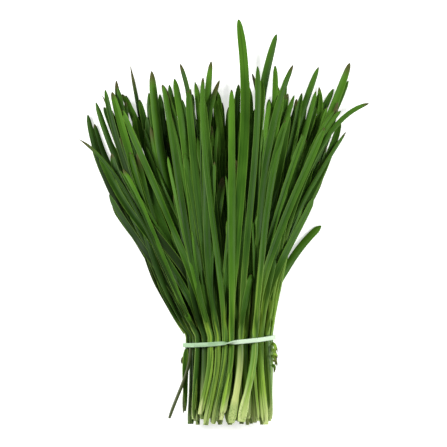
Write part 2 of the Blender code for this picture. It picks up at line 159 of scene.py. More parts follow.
def linear(code: str) -> tuple[float, float, float, float]:
    """Turns an sRGB hex colour into the linear values that a shader takes.

    Args:
        code: six hex digits.

    Returns:
        Linear red, green and blue, and an alpha of 1.
    """
    srgb = [int(code[i : i + 2], 16) / 255 for i in (0, 2, 4)]
    parts = [c / 12.92 if c <= 0.04045 else ((c + 0.055) / 1.055) ** 2.4 for c in srgb]
    return (parts[0], parts[1], parts[2], 1.0)


def fit(tree: NodeTree, node: Node, inputs: dict | tuple) -> None:
    """Gives a node's inputs their values and links.

    Args:
        tree: the node's tree.
        node: the node.
        inputs: for each input, by name or number or simply in order, a value, a socket, or a node
            whose first output is meant.
    """
    for key, value in inputs.items() if isinstance(inputs, dict) else enumerate(inputs):
        if isinstance(value, Node):
            value = value.outputs[0]
        if isinstance(value, NodeSocket):
            tree.links.new(value, node.inputs[key])
        else:
            node.inputs[key].default_value = value


def add(tree: NodeTree, kind: str, inputs: dict | tuple = (), **settings) -> Node:
    """Adds a node with its settings, values and links.

    Args:
        tree: the node tree that takes the node.
        kind: the node's type, such as MATH.
        inputs: what goes into its inputs, as fit takes it.
        **settings: the node's own properties.

    Returns:
        The new node.
    """
    node = tree.nodes.new(kind)
    for name, value in settings.items():
        setattr(node, name, value)
    fit(tree, node, inputs)
    return node


def ease(share: np.ndarray) -> np.ndarray:
    """A smooth step from 0 to 1."""
    share = np.clip(share, 0, 1)
    return share * share * (3 - 2 * share)


def mix(low: float, high: float, share: np.ndarray) -> np.ndarray:
    """The value a share of the way from low to high."""
    return low + (high - low) * share


def smooth_through(places: np.ndarray, values: np.ndarray, at: np.ndarray) -> np.ndarray:
    """A curve through given values that doesn't swing past them.

    Args:
        places: where the values are, rising.
        values: the values there.
        at: where the curve is wanted.

    Returns:
        The curve's values at those places.
    """
    step = np.diff(places)
    slope = np.diff(values) / step
    tangent = np.zeros(len(values))
    tangent[0], tangent[-1] = slope[0], slope[-1]
    same = slope[:-1] * slope[1:] > 0
    total = slope[:-1] + slope[1:]
    tangent[1:-1][same] = (2 * slope[:-1] * slope[1:] / np.where(total == 0, 1, total))[same]
    i = np.clip(np.searchsorted(places, at, side="right") - 1, 0, len(step) - 1)
    h = step[i]
    t = (at - places[i]) / h
    return (
        (1 + 2 * t) * (1 - t) ** 2 * values[i]
        + t * (1 - t) ** 2 * h * tangent[i]
        + t**2 * (3 - 2 * t) * values[i + 1]
        + t**2 * (t - 1) * h * tangent[i + 1]
    )


def run_along(points: np.ndarray) -> np.ndarray:
    """How far along a line each of its points is."""
    return np.concatenate([[0], np.cumsum(np.linalg.norm(np.diff(points, axis=0), axis=1))])


def rows_at(at: np.ndarray, places: np.ndarray, rows: np.ndarray) -> np.ndarray:
    """Rows of numbers at places between the given ones.

    Args:
        at: (n) where they are wanted.
        places: (m) where they are given, rising.
        rows: (m, k) the rows there.

    Returns:
        (n, k) rows.
    """
    return np.stack([np.interp(at, places, column) for column in rows.T], axis=1)


def narrowed_ends(share: np.ndarray, start: Pair, end: Pair) -> np.ndarray:
    """How wide a torn strip is along its length, where its middle is 1.

    Args:
        share: (n) places along it, from 0 to 1.
        start: over what share of its length it widens, and the square of its width at the start.
        end: the same at its end.

    Returns:
        (n) widths.
    """
    opening = np.sqrt(np.clip(share / start[0], start[1], 1))
    return opening * np.sqrt(np.clip((1 - share) / end[0], end[1], 1))


def frames_along(centre: np.ndarray, roll: np.ndarray) -> tuple[np.ndarray, np.ndarray]:
    """The side and face directions of a strap along its centre line.

    Args:
        centre: (n, 3) points.
        roll: (n) turns round the line, in radians.

    Returns:
        Two (n, 3) arrays of unit vectors: to the strap's right, and out of its upper face.
    """
    along = np.gradient(centre, axis=0)
    along /= np.linalg.norm(along, axis=1)[:, None]
    level = np.cross(along, [0, 0, 1])
    level /= np.linalg.norm(level, axis=1)[:, None]
    upright = np.cross(level, along)
    turn = roll[:, None]
    side = np.cos(turn) * level + np.sin(turn) * upright
    face = -np.sin(turn) * level + np.cos(turn) * upright
    return side, face


# ---------------------------------------------------------------- growth


@dataclass
class Leaf:
    """A strap by the growth rule: its stations from root to tip, and its route seen from above."""

    points: np.ndarray
    widths: np.ndarray
    rolls: np.ndarray
    shares: np.ndarray
    handles: np.ndarray
    index: int
    stands_out: bool


@dataclass
class Shoot:
    """One shoot: where it passes under the band, its sheath's ends and its leaves."""

    row: int
    place: int
    x: float
    z: float
    cut_x: float
    cut_y: float
    mouth_y: float
    width: float
    thick: float
    number: int = 0
    swell: float = 1.0
    dress: Dress = Dress.FRESH
    leaves: list[Leaf] = field(default_factory=list)

    @property
    def buried(self) -> float:
        """How deep in the bunch it lies: 0 for the top row, 1 on the table."""
        return max(0.0, 1 - self.z / TOP_ROW_Z)

    @property
    def rightness(self) -> float:
        """From -1 at the bunch's left side to 1 at its right side."""
        return float(np.clip(self.x / SIDE_X, -1, 1))

    def key(self, place: float) -> float:
        """A number of its own for one of the shoot's strands, so that no two patterns are alike."""
        return self.number * 7.0 + place

    def chance(self, seed: int, *places: int) -> np.random.Generator:
        """A source of chance for one thing on the shoot."""
        return np.random.default_rng([seed, self.number, *places])


class Pile:
    """The height of all that has been laid so far, on a square grid over the table."""

    cell = 0.35 * MM
    low = np.array([-130.0, -5.0]) * MM
    cells = (730, 740)

    def __init__(self, floor: float) -> None:
        """Starts with bare table at the height floor."""
        self.height = np.full(self.cells, floor)

    def index(self, points: np.ndarray) -> tuple[np.ndarray, np.ndarray]:
        """The grid cells that points lie in."""
        index = np.round((points[..., :2] - self.low) / self.cell).astype(int)
        index = np.clip(index, 0, np.array(self.cells) - 1)
        return index[..., 0], index[..., 1]

    def at(self, points: np.ndarray) -> np.ndarray:
        """The pile's height under points."""
        return self.height[self.index(points)]

    def add(self, points: np.ndarray) -> None:
        """Raises the pile to points."""
        np.maximum.at(self.height, self.index(points), points[..., 2])


@dataclass
class Growth:
    """The rule by which the shoots stand in the band and their leaves fan out and settle."""

    seed: int = 11
    clear: float = 0.3 * MM
    row_counts: tuple[int, ...] = (9, 11, 12, 11, 9, 6)
    row_pitch: float = 5.0 * MM
    sheath_width: Pair = (4.1 * MM, 5.6 * MM)
    sheath_gap: Pair = (0.35 * MM, 0.95 * MM)
    sheath_thick: float = 4.4 * MM
    lowest_row_z: float = 3.9 * MM
    cut_end_y: float = -57.0 * MM
    cut_end_spread: float = 4.5 * MM
    mouth_y: float = 14.0 * MM
    mouth_step: float = 0.9 * MM
    mouth_spread: float = 0.4 * MM
    straight_y: float = 4.0 * MM
    half_bunch: float = 33.0 * MM
    edge_x: float = 24.0 * MM
    leaf_thick: float = 0.65 * MM
    leaf_pitch: float = 1.2 * MM
    leaf_width: Pair = (4.9 * MM, 6.6 * MM)
    leaf_counts: tuple[int, ...] = (3, 3, 3, 2)
    edge_leaves: int = 4
    root_length: float = 9.0 * MM
    root_share: float = 0.6
    root_fit: tuple[float, ...] = (0.85, 0.85, 0.95)
    stations: tuple[float, ...] = (0.0, 0.09, 0.24, 0.46, 0.7, 0.92, 1.0)
    first_rise: float = 15.0 * MM
    taper: tuple[float, ...] = (0.7, 0.78, 0.94, 1.0, 0.98, 0.88, 0.32)
    roll_spread: float = math.radians(26)
    roll_most: float = math.radians(50)
    roll_build: tuple[float, ...] = (0, 0, 0, 0.5, 1.0, 0.95, 0.8, 0.7)
    looseness: tuple[float, ...] = (0.0, 0.0, 0.2, 0.4, 0.55, 0.7)
    # How much of the slope under it a lying leaf takes on, and how much sooner than it rolls.
    lie_share: float = 0.8
    lie_build: float = 1.6
    # Over what part of the way between two stations the slope is felt, and in how many places.
    feel: tuple[float, float, int] = (-0.35, 0.1, 9)
    steepest: float = 0.3
    crown_left: float = -107.0 * MM
    crown_right: float = 86.0 * MM
    crown_y: float = 193.0 * MM
    notch: tuple[float, float, float] = (-2.0 * MM, 7.0 * MM, 22.0 * MM)
    left_start_lean: float = -0.64
    right_start_lean: float = 0.14
    tip_wander: float = 9.0 * MM
    # An ordinary tip strays to its side by these shares of the wander, more in the upper rows.
    stray: Pair = (0.3, 1.6)
    least_wander: float = 0.4
    row_wander: float = 0.2
    # How far below the crown it ends: at most, the power that makes that rare, how much more at
    # the sides, and how uneven that is.
    crown_depth: float = 78.0 * MM
    depth_power: float = 1.7
    side_fall: float = 0.12
    uneven: float = 4.0 * MM
    # A short leaf ends nearer the middle, by this power of its y.
    short_power: float = 0.9
    # It leans by this share of the lean of the straight way there, give or take the spread.
    tip_lean: Pair = (0.3, 1.0)
    lean_spread: float = 0.13
    # The handles of its curve, as shares of its length: at the mouth, and at a tip that leans
    # less or more than sharp_lean.
    mouth_handle: float = 0.37
    tip_handles: Pair = (0.33, 0.24)
    sharp_lean: float = math.radians(45)
    # How an outstanding leaf finds its shoot: below this y the fan is as wide as there. A lower
    # row and a leaf that the shoot has already count as being further away by so much.
    fan_y: float = 120.0 * MM
    row_cost: float = 1.2 * MM
    leaf_cost: float = 4.0 * MM
    most_outstanding: int = 2
    tip_lift: float = 10.0 * MM
    tip_lift_power: float = 1.5
    tip_lift_spread: Pair = (0.4, 1.3)
    # A leaf droops by the first times its share minus the second times the share's cube.
    droop: Pair = (1.35, 0.35)
    free_length: float = 7.0 * MM
    # Raising a leaf: most rounds, what is near enough, the part of the need that one round
    # raises it by, what is added, and the least share of a station past the mouth.
    lift_rounds: int = 90
    lift_enough: float = 0.02 * MM
    lift_share: float = 0.6
    lift_extra: float = 0.01 * MM
    lift_least: float = 0.4
    shoots: list[Shoot] = field(default_factory=list)
    laid: list[tuple[Leaf, Shoot]] = field(default_factory=list)

    def grow(self) -> None:
        """Grows all shoots and lays their leaves down."""
        rng = np.random.default_rng(self.seed)
        self.pack_shoots(rng)
        self.grow_leaves(rng)
        self.settle(rng)

    def pack_shoots(self, rng: np.random.Generator) -> None:
        """Sets the shoots in their rows under the band, without leaves.

        Args:
            rng: the source of chance.
        """
        for row, count in enumerate(self.row_counts):
            widths = rng.uniform(*self.sheath_width, count)
            gaps = rng.uniform(*self.sheath_gap, count)
            right = np.cumsum(widths + gaps) - gaps
            middles = right - widths / 2 - right[-1] / 2
            splay, shift = ROW_SPLAY[row]
            for place, (x, width) in enumerate(zip(middles, widths)):
                cut_y = self.cut_end_y + rng.uniform(-1, 1) * self.cut_end_spread
                mouth_y = self.mouth_y - row * self.mouth_step + rng.uniform(-1, 1) * self.mouth_spread
                shoot = Shoot(
                    row=row, place=place, x=x, z=self.lowest_row_z + row * self.row_pitch,
                    cut_x=x * splay + shift, cut_y=cut_y, mouth_y=mouth_y, width=width,
                    thick=self.sheath_thick, number=len(self.shoots) + 1
                )
                for name, value in ODD_SHEATHS.get((row, place), {}).items():
                    setattr(shoot, name, value)
                self.shoots.append(shoot)

    def start_lean(self, x: float) -> float:
        """The lean with which a leaf leaves the band. It grows with x, so neighbours part."""
        side = x / self.half_bunch
        return side * (self.right_start_lean if side > 0 else -self.left_start_lean)

    def crown_point(
        self, shoot: Shoot, rng: np.random.Generator, turn: int
    ) -> tuple[np.ndarray, float]:
        """Where an ordinary leaf ends.

        Args:
            shoot: the leaf's shoot.
            rng: the source of chance.
            turn: 1 or -1, the side to which the leaf strays.

        Returns:
            The tip's x and y, and its lean.
        """
        side = shoot.x / self.half_bunch
        x = side * (self.crown_right if side > 0 else -self.crown_left)
        wander = self.least_wander + self.row_wander * shoot.row
        x += turn * rng.uniform(*self.stray) * self.tip_wander * wander
        x = min(max(x, self.crown_left), self.crown_right)
        short = rng.uniform(0, 1) ** self.depth_power * self.crown_depth
        short += abs(x) * self.side_fall + rng.normal(0, self.uneven)
        notch = self.notch[2] * math.exp(-(((x - self.notch[0]) / self.notch[1]) ** 2))
        y = self.crown_y - max(short, notch)
        spread = (y / self.crown_y) ** self.short_power
        lean = math.atan2(x - shoot.x, y) * rng.uniform(*self.tip_lean)
        lean += rng.normal(0, self.lean_spread)
        return np.array([x * spread, y]), lean

    def along_sheath(self, shoot: Shoot, y: float) -> np.ndarray:
        """Where the sheath's centre line is at a y past the band, seen from above."""
        return np.array([shoot.x + (y - self.straight_y) * math.tan(self.start_lean(shoot.x)), y])

    def route(self, shoot: Shoot, tip: np.ndarray, tip_lean: float) -> np.ndarray:
        """The cubic curve that a leaf follows from the mouth to its tip, seen from above.

        Args:
            shoot: the leaf's shoot.
            tip: the leaf's tip.
            tip_lean: the leaf's lean there.

        Returns:
            (4, 2) the curve's handles.
        """
        start = self.along_sheath(shoot, shoot.mouth_y)
        length = np.linalg.norm(tip - start)
        lean = self.start_lean(shoot.x)
        tip_handle = length * self.tip_handles[abs(tip_lean) >= self.sharp_lean]
        ahead = start + length * self.mouth_handle * np.array([math.sin(lean), math.cos(lean)])
        behind = tip - tip_handle * np.array([math.sin(tip_lean), math.cos(tip_lean)])
        return np.stack([start, ahead, behind, tip])

    def station_shares(self, shoot: Shoot, tip: np.ndarray) -> np.ndarray:
        """How far along a leaf its stations are. On a short leaf they stand further from the mouth.

        Args:
            shoot: the leaf's shoot.
            tip: the leaf's tip.

        Returns:
            The stations' places, from 0 at the mouth to 1 at the tip.
        """
        length = np.linalg.norm(tip - self.along_sheath(shoot, shoot.mouth_y))
        shares = np.array(self.stations)
        first = max(shares[1], self.first_rise / length)
        shares[1:] = first + (1 - first) * (shares[1:] - shares[1]) / (1 - shares[1])
        return shares

    def outstanding_tips(self) -> dict[int, list]:
        """Gives each outstanding leaf the nearest shoot below it in the fan with a leaf to spare.

        Returns:
            For each shoot's id, the tip, lean and width of its outstanding leaves.
        """
        given = {id(shoot): [] for shoot in self.shoots}
        last = len(self.row_counts) - 1
        for x, y, lean, width in OUTSTANDING_LEAVES:
            reach = x * MM / (self.crown_right if x > 0 else -self.crown_left) * self.half_bunch
            reach *= self.crown_y / max(y * MM, self.fan_y)
            best, least = None, math.inf
            for shoot in self.shoots:
                has = len(given[id(shoot)])
                far = abs(shoot.x - reach) + self.row_cost * (last - shoot.row) + self.leaf_cost * has
                free = has < self.most_outstanding and shoot.width >= self.sheath_width[0]
                if free and far < least:
                    best, least = shoot, far
            given[id(best)].append((np.array([x, y]) * MM, math.radians(lean), width * MM))
        return given

    def grow_leaves(self, rng: np.random.Generator) -> None:
        """Gives each shoot its leaves, seen from above, lowest first.

        Args:
            rng: the source of chance.
        """
        given = self.outstanding_tips()
        for shoot in self.shoots:
            count = max(int(rng.choice(self.leaf_counts)), len(given[id(shoot)]))
            if shoot.width < self.sheath_width[0]:
                count = round(shoot.thick / self.leaf_pitch)
            elif abs(shoot.x) > self.edge_x:
                count = self.edge_leaves
            special = given[id(shoot)]
            for index in range(count):
                turn = 1 if (index + shoot.place) % 2 else -1
                tip, lean = self.crown_point(shoot, rng, turn)
                width = rng.uniform(*self.leaf_width)
                stands_out = count - index <= len(special)
                if stands_out:
                    tip, lean, width = special[count - index - 1]
                shares = self.station_shares(shoot, tip)
                handles = self.route(shoot, tip, lean)
                root = self.along_sheath(shoot, shoot.mouth_y - self.root_share * self.root_length)
                level = shoot.z + (index - (count - 1) / 2) * self.leaf_pitch
                points = np.zeros((len(self.stations) + 1, 3))
                points[:, :2] = np.vstack([root, on_route(handles, shares)])
                points[:, 2] = level
                widths = width * np.array([self.taper[0], *self.taper])
                widths[:3] = np.minimum(widths[:3], shoot.width * np.array(self.root_fit))
                roll = np.clip(rng.normal(0, self.roll_spread), -self.roll_most, self.roll_most)
                rolls = roll * np.array(self.roll_build)
                shoot.leaves.append(Leaf(points, widths, rolls, shares, handles, index, stands_out))

    def corners(self, leaf: Leaf) -> np.ndarray:
        """The corners of a leaf's straight-edged cross-section at each station.

        Args:
            leaf: the leaf.

        Returns:
            (stations, 4, 3): the upper left, upper right, lower right and lower left corner.
        """
        side, face = frames_along(leaf.points, leaf.rolls)
        half_width = side * leaf.widths[:, None] / 2
        half_thick = face * self.leaf_thick / 2
        ways = ((-1, 1), (1, 1), (1, -1), (-1, -1))
        return np.stack([leaf.points + x * half_width + z * half_thick for x, z in ways], axis=1)

    def rings_along(self, leaf: Leaf, step: float) -> tuple[np.ndarray, np.ndarray, np.ndarray]:
        """Rows of points on a leaf's two faces.

        Args:
            leaf: the leaf.
            step: how far apart the points are.

        Returns:
            The rows' places along the stations, and their points on the upper and the lower face.
        """
        corners = self.corners(leaf)
        last = len(leaf.points) - 1
        length = np.linalg.norm(leaf.points[-1] - leaf.points[1])
        place = np.linspace(1, last, int(1.3 * length / step))
        first = np.minimum(place.astype(int), last - 1)
        v = (place - first)[:, None, None]
        u = np.linspace(0, 1, int(7 * MM / step))[None, :, None]
        faces = []
        for left, right in ((0, 1), (3, 2)):
            low_left, low_right = corners[first, left, None], corners[first, right, None]
            high_left, high_right = corners[first + 1, left, None], corners[first + 1, right, None]
            near = low_left + u * (low_right - low_left) + v * (high_right - low_right)
            far = low_left + v * (high_left - low_left) + u * (high_right - high_left)
            faces.append(np.where(u >= v, near, far))
        return place, faces[0], faces[1]

    def nestle(self, pile: Pile, leaf: Leaf, looseness: float) -> None:
        """Turns a leaf's stations towards the slope of what lies under its two edges.

        Args:
            pile: what has been laid.
            leaf: the leaf.
            looseness: how much of its own roll it keeps, from 0 to 1.
        """
        corners = self.corners(leaf)
        for k in range(2, len(leaf.points)):
            step = leaf.points[k] - leaf.points[k - 1]
            under = []
            for edge in (0, 1):
                line = corners[k, edge] + np.linspace(*self.feel)[:, None] * step
                under.append(pile.at(line).mean())
            slope = math.atan2(under[1] - under[0], leaf.widths[k])
            slope = np.clip(slope, -self.roll_most, self.roll_most)
            lying = slope * self.lie_share * min(1.0, self.lie_build * self.roll_build[k])
            leaf.rolls[k] = leaf.rolls[k] * looseness + lying * (1 - looseness)

    def settle(self, rng: np.random.Generator) -> None:
        """Lays the leaves on the table and on each other, lowest level first.

        Args:
            rng: the source of chance.
        """
        pile = Pile(-self.clear)
        waiting = [(leaf.points[0, 2], leaf, shoot) for shoot in self.shoots for leaf in shoot.leaves]
        waiting.sort(key=lambda item: round(item[0] / MM, 2))
        top = self.lowest_row_z + len(self.row_counts) * self.row_pitch
        for start, leaf, shoot in waiting:
            lift = self.tip_lift * (start / top) ** self.tip_lift_power
            end = self.leaf_thick / 2 + lift * rng.uniform(*self.tip_lift_spread)
            t = leaf.shares
            droop = start + (end - start) * (self.droop[0] * t - self.droop[1] * t**3)
            leaf.points[1:, 2] = np.maximum(droop, self.leaf_thick / 2)
            self.nestle(pile, leaf, self.looseness[shoot.row])
            self.raise_clear(pile, leaf)
            _, upper, lower = self.rings_along(leaf, 0.6 * pile.cell)
            pile.add(upper)
            pile.add(lower)
            self.laid.append((leaf, shoot))

    def raise_clear(self, pile: Pile, leaf: Leaf) -> None:
        """Raises a leaf's stations past its mouth until no part of it is in the pile.

        Args:
            pile: what has been laid.
            leaf: the leaf.
        """
        run = np.linalg.norm(np.diff(leaf.points[:, :2], axis=0), axis=1)
        height = leaf.points[:, 2]
        for _ in range(self.lift_rounds):
            place, upper, lower = self.rings_along(leaf, pile.cell)
            need = np.maximum(pile.at(upper) - upper[..., 2], pile.at(lower) - lower[..., 2])
            need = need.max(axis=1) + self.clear
            need[lower[..., 1].min(axis=1) < leaf.points[1, 1] + self.free_length] = -1
            if need.max() < self.lift_enough:
                return
            lift = np.zeros(len(height))
            for where, rise in zip(place[need > 0], need[need > 0]):
                before = min(int(where), len(height) - 2)
                share = where - before
                if before == 1:
                    lift[2] = max(lift[2], rise / max(share, self.lift_least))
                    continue
                reach = (1 - share) ** 2 + share**2
                lift[before] = max(lift[before], rise * (1 - share) / reach)
                lift[before + 1] = max(lift[before + 1], rise * share / reach)
            height[2:] += lift[2:] * self.lift_share + self.lift_extra * (lift[2:] > 0)
            for k in range(len(height) - 2, 1, -1):
                height[k] = max(height[k], height[k + 1] - self.steepest * run[k])
            for k in range(3, len(height)):
                height[k] = max(height[k], height[k - 1] - self.steepest * run[k - 1])


def on_route(handles: np.ndarray, share: np.ndarray) -> np.ndarray:
    """Points of a cubic curve.

    Args:
        handles: (4, 2) its handles.
        share: (n) places on it, from 0 to 1.

    Returns:
        (n, 2) points.
    """
    t = share[:, None]
    start, ahead, behind, tip = handles
    return (
        (1 - t) ** 3 * start + 3 * (1 - t) ** 2 * t * ahead + 3 * (1 - t) * t**2 * behind + t**3 * tip
    )


# ---------------------------------------------------------------- strands and their tree


@dataclass
class Strand:
    """A chain of rings to be skinned: a blade's strap or a sheath's tube.

    The arrays have one entry for each ring. Lengths are in metres, angles in radians. A plain
    number holds for the whole strand.
    """

    centre: np.ndarray
    side: np.ndarray
    up: np.ndarray
    half_width: np.ndarray
    half_thick: np.ndarray
    half_bend: np.ndarray | float = 0.05
    crease: np.ndarray | float = 0.0
    wave: np.ndarray | float = 0.0
    along: np.ndarray | float = 0.0
    tip_gap: np.ndarray | float = 1.0
    cut: np.ndarray | float = 0.0
    tube: float = 0.0
    margin: float = 0.0
    tint: float = 0.0
    pale: float = 0.0
    cream: float = 0.0
    dry: float = 0.0
    key: float = 0.0
    closed: bool = False

    def surface(self, place: np.ndarray, across: np.ndarray, face: float) -> np.ndarray:
        """Points on the blade's upper or lower face.

        Args:
            place: (n) places along the rings.
            across: (m) places across, from -1 to 1.
            face: 1 for the face that up points out of, -1 for the other.

        Returns:
            (n, m, 3) points.
        """
        rings = np.arange(len(self.centre))
        centre, side, up = (
            rows_at(place, rings, rows)[:, None] for rows in (self.centre, self.side, self.up)
        )
        width, thick, bend, crease = (
            np.interp(place, rings, v)[:, None]
            for v in (self.half_width, self.half_thick, self.half_bend, self.crease)
        )
        bow = width / bend
        a = across[None, :]
        inner = bow - face * thick * np.sqrt(1 - np.minimum(a**2, 1))
        x = inner * np.sin(a * bend)
        z = bow - inner * np.cos(a * bend) + crease * (np.sqrt(a**2 + CREASE_SOFT) - CREASE_DEPTH)
        return centre + side * x[..., None] + up * z[..., None]


class StrandTree:
    """Geometry Nodes that skin strands: blades as bent, creased straps and sheaths as tubes."""

    # What stays on a mesh: what the finishes read, then which finish each face has and what is sharp.
    kept = ("across", "rise", "along", "tip_gap", "tint", "pale", "cream", "dry", "grain", "edge")
    kept += ("material_index", "sharp_face", "sharp_edge")
    vectors = ("side", "up", "centre")
    numbers = ("across", "rise", "half_width", "half_thick", "half_bend", "bow", "crease", "wave")
    marks = ("run", "key", "margin", "tube", "cut")
    # The inputs, with what they are where a piece doesn't say.
    sizes = {
        "Blade points": 16, "Tube points": 24, "Squareness": 0.85, "Wave length": 16 * MM,
        "Overlap": 0.09, "Flute": 0.16, "Flute length": 30 * MM, "Seed": 0.0
    }
    finishes = ("Blade finish", "Sheath finish", "Cut finish")
    # How fast the dip past a margin fades, and how fine the flutes are.
    dip_fade = -8.0
    flute_scale = 1.6
    # How far apart neighbouring strands are in the patterns of the waves and of the flutes.
    wave_apart = 3.7
    flute_apart = 5.3
    # A fold between faces that is steeper than this stays sharp.
    sharp_angle = math.radians(50)

    def __init__(self, name: str) -> None:
        """Builds the tree, with named inputs for its sizes and finishes.

        Args:
            name: the tree's name.
        """
        self.tree = bpy.data.node_groups.new(name, "GeometryNodeTree")
        self.new = partial(add, self.tree)
        face = self.tree.interface
        kinds = {"Chains": "Geometry"}
        for label, value in self.sizes.items():
            kinds[label] = "Int" if isinstance(value, int) else "Float"
        kinds |= {label: "Material" for label in self.finishes}
        self.names = {
            label: face.new_socket(label, in_out="INPUT", socket_type=f"NodeSocket{kind}").identifier
            for label, kind in kinds.items()
        }
        face.new_socket("Plant", in_out="OUTPUT", socket_type="NodeSocketGeometry")
        self.given = self.tree.nodes.new("NodeGroupInput").outputs
        self.value = {
            label: self.new("GeometryNodeInputNamedAttribute", {"Name": label}, data_type=kind)
            for kind, labels in (("FLOAT_VECTOR", self.vectors), ("FLOAT", self.numbers + self.marks))
            for label in labels
        }
        self.build()

    def sweep(self, chains: NodeSocket, points: NodeSocket) -> Node:
        """Skins chains with a ring of points, and marks each point's place across and up.

        Args:
            chains: a mesh of edge chains.
            points: how many points a ring has.

        Returns:
            The node whose mesh has the right faces. Its points aren't in place yet.
        """
        new = self.new
        place = new("GeometryNodeInputPosition")
        parts = new("ShaderNodeSeparateXYZ", (place,))
        shape = new("GeometryNodeCurvePrimitiveCircle", {"Resolution": points, "Radius": 1.0})
        for part, name in zip(parts.outputs, ("across", "rise")):
            size = new(MATH, (part,), operation="ABSOLUTE")
            size = new(MATH, (size, self.given["Squareness"]), operation="POWER")
            sign = new(MATH, (part,), operation="SIGN")
            value = new(MATH, (size, sign), operation="MULTIPLY")
            mark = {"Geometry": shape, "Name": name, "Value": value}
            shape = new(STORE, mark, data_type="FLOAT", domain="POINT")
        mark = {"Geometry": new("GeometryNodeMeshToCurve", (chains,)), "Name": "centre", "Value": place}
        curve = new(STORE, mark, data_type="FLOAT_VECTOR", domain="POINT")
        inputs = {"Curve": curve, "Profile Curve": shape, "Fill Caps": True}
        return new("GeometryNodeCurveToMesh", inputs)

    def placed(self, mesh: Node, x: Node, z: Node) -> Node:
        """Puts each point x to the side of its ring's centre and z above it.

        Args:
            mesh: the skinned strands.
            x: how far to the side each point goes.
            z: how far up it goes.

        Returns:
            The node whose mesh is in place.
        """
        new, value = self.new, self.value
        side = new(VECTOR_MATH, {0: value["side"], "Scale": x}, operation="SCALE")
        up = new(VECTOR_MATH, {0: value["up"], "Scale": z}, operation="SCALE")
        step = new(VECTOR_MATH, (side, up), operation="ADD")
        place = new(VECTOR_MATH, (step, value["centre"]), operation="ADD")
        return new("GeometryNodeSetPosition", {"Geometry": mesh, "Position": place})

    def blades(self, chains: NodeSocket) -> Node:
        """The blades: straps bent to an arc across, with a crease down the middle and wavy edges.

        Args:
            chains: the blades' edge chains.

        Returns:
            The node whose mesh is the blades.
        """
        new, value, given = self.new, self.value, self.given
        across, bow = value["across"], value["bow"]
        angle = new(MATH, (across, value["half_bend"]), operation="MULTIPLY")
        out = new(MATH, (value["rise"], value["half_thick"]), operation="MULTIPLY")
        inner = new(MATH, (bow, out), operation="SUBTRACT")
        sine = new(MATH, (angle,), operation="SINE")
        cosine = new(MATH, (angle,), operation="COSINE")
        x = new(MATH, (inner, sine), operation="MULTIPLY")
        drop = new(MATH, (inner, cosine), operation="MULTIPLY")
        z = new(MATH, (bow, drop), operation="SUBTRACT")
        # The crease is a V with a rounded bottom: the root of across squared plus a little.
        square = new(MATH, (across, across), operation="MULTIPLY")
        fold = new(MATH, (square, CREASE_SOFT), operation="ADD")
        fold = new(MATH, (fold,), operation="SQRT")
        fold = new(MATH, (fold, CREASE_DEPTH), operation="SUBTRACT")
        z = new(MATH, (fold, value["crease"], z), operation="MULTIPLY_ADD")
        # Each edge goes up and down on its own, slowly along the blade.
        run = new(MATH, (value["run"], given["Wave length"]), operation="DIVIDE")
        lane = new(MATH, (value["key"], self.wave_apart, given["Seed"]), operation="MULTIPLY_ADD")
        where = new(COMBINE, (run, across, lane))
        noise = new(NOISE, {"Vector": where, "Scale": 1.0, "Detail": 1.0})
        lift = new(MATH, (noise, 0.5), operation="SUBTRACT")
        lift = new(MATH, (lift, square), operation="MULTIPLY")
        z = new(MATH, (lift, value["wave"], z), operation="MULTIPLY_ADD")
        return self.placed(self.sweep(chains, given["Blade points"]), x, z)

    def tubes(self, chains: NodeSocket) -> Node:
        """The sheaths: oval tubes whose outer layer overlaps itself along one line, lightly fluted.

        Args:
            chains: the sheaths' edge chains.

        Returns:
            The node whose mesh is the sheaths.
        """
        new, value, given = self.new, self.value, self.given
        across, rise = value["across"], value["rise"]
        angle = new(MATH, (rise, across), operation="ARCTAN2")
        turn = new(MATH, (angle, 1 / math.tau, value["margin"]), operation="MULTIPLY_ADD")
        turn = new(MATH, (turn,), operation="FRACT")
        # Just past the margin the layer dips by the overlap, and comes back within an eighth turn.
        fade = new(MATH, (turn, self.dip_fade), operation="MULTIPLY")
        fade = new(MATH, (fade,), operation="EXPONENT")
        dip = new(MATH, (fade, given["Overlap"]), operation="MULTIPLY")
        scale = new(MATH, (1.0, dip), operation="SUBTRACT")
        run = new(MATH, (value["run"], given["Flute length"]), operation="DIVIDE")
        run = new(MATH, (value["key"], self.flute_apart, run), operation="MULTIPLY_ADD")
        where = new(COMBINE, (across, rise, run))
        noise = new(NOISE, {"Vector": where, "Scale": self.flute_scale, "Detail": 1.0})
        flute = new(MATH, (noise, 0.5), operation="SUBTRACT")
        scale = new(MATH, (flute, given["Flute"], scale), operation="MULTIPLY_ADD")
        steps = []
        for part, half in ((across, "half_width"), (rise, "half_thick")):
            size = new(MATH, (value[half], scale), operation="MULTIPLY")
            steps.append(new(MATH, (part, size), operation="MULTIPLY"))
        mark = {"Geometry": self.sweep(chains, given["Tube points"]), "Name": "edge", "Value": fade}
        return self.placed(new(STORE, mark, data_type="FLOAT", domain="POINT"), *steps)

    def build(self) -> None:
        """Joins the two branches, marks the surface's own directions and gives the finishes."""
        new, value, given = self.new, self.value, self.given
        above = {"data_type": "FLOAT", "operation": "GREATER_THAN"}
        is_tube = new("FunctionNodeCompare", (value["tube"], 0.5), **above)
        is_cut = new("FunctionNodeCompare", (value["cut"], 0.5), **above)
        parted = new(
            "GeometryNodeSeparateGeometry", {"Geometry": given["Chains"], "Selection": is_tube},
            domain="POINT"
        )
        both = new("GeometryNodeJoinGeometry")
        for made, finish in (
            (self.tubes(parted.outputs[0]), "Sheath finish"),
            (self.blades(parted.outputs[1]), "Blade finish")
        ):
            dressed = new("GeometryNodeSetMaterial", {"Geometry": made, "Material": given[finish]})
            self.tree.links.new(dressed.outputs[0], both.inputs[0])
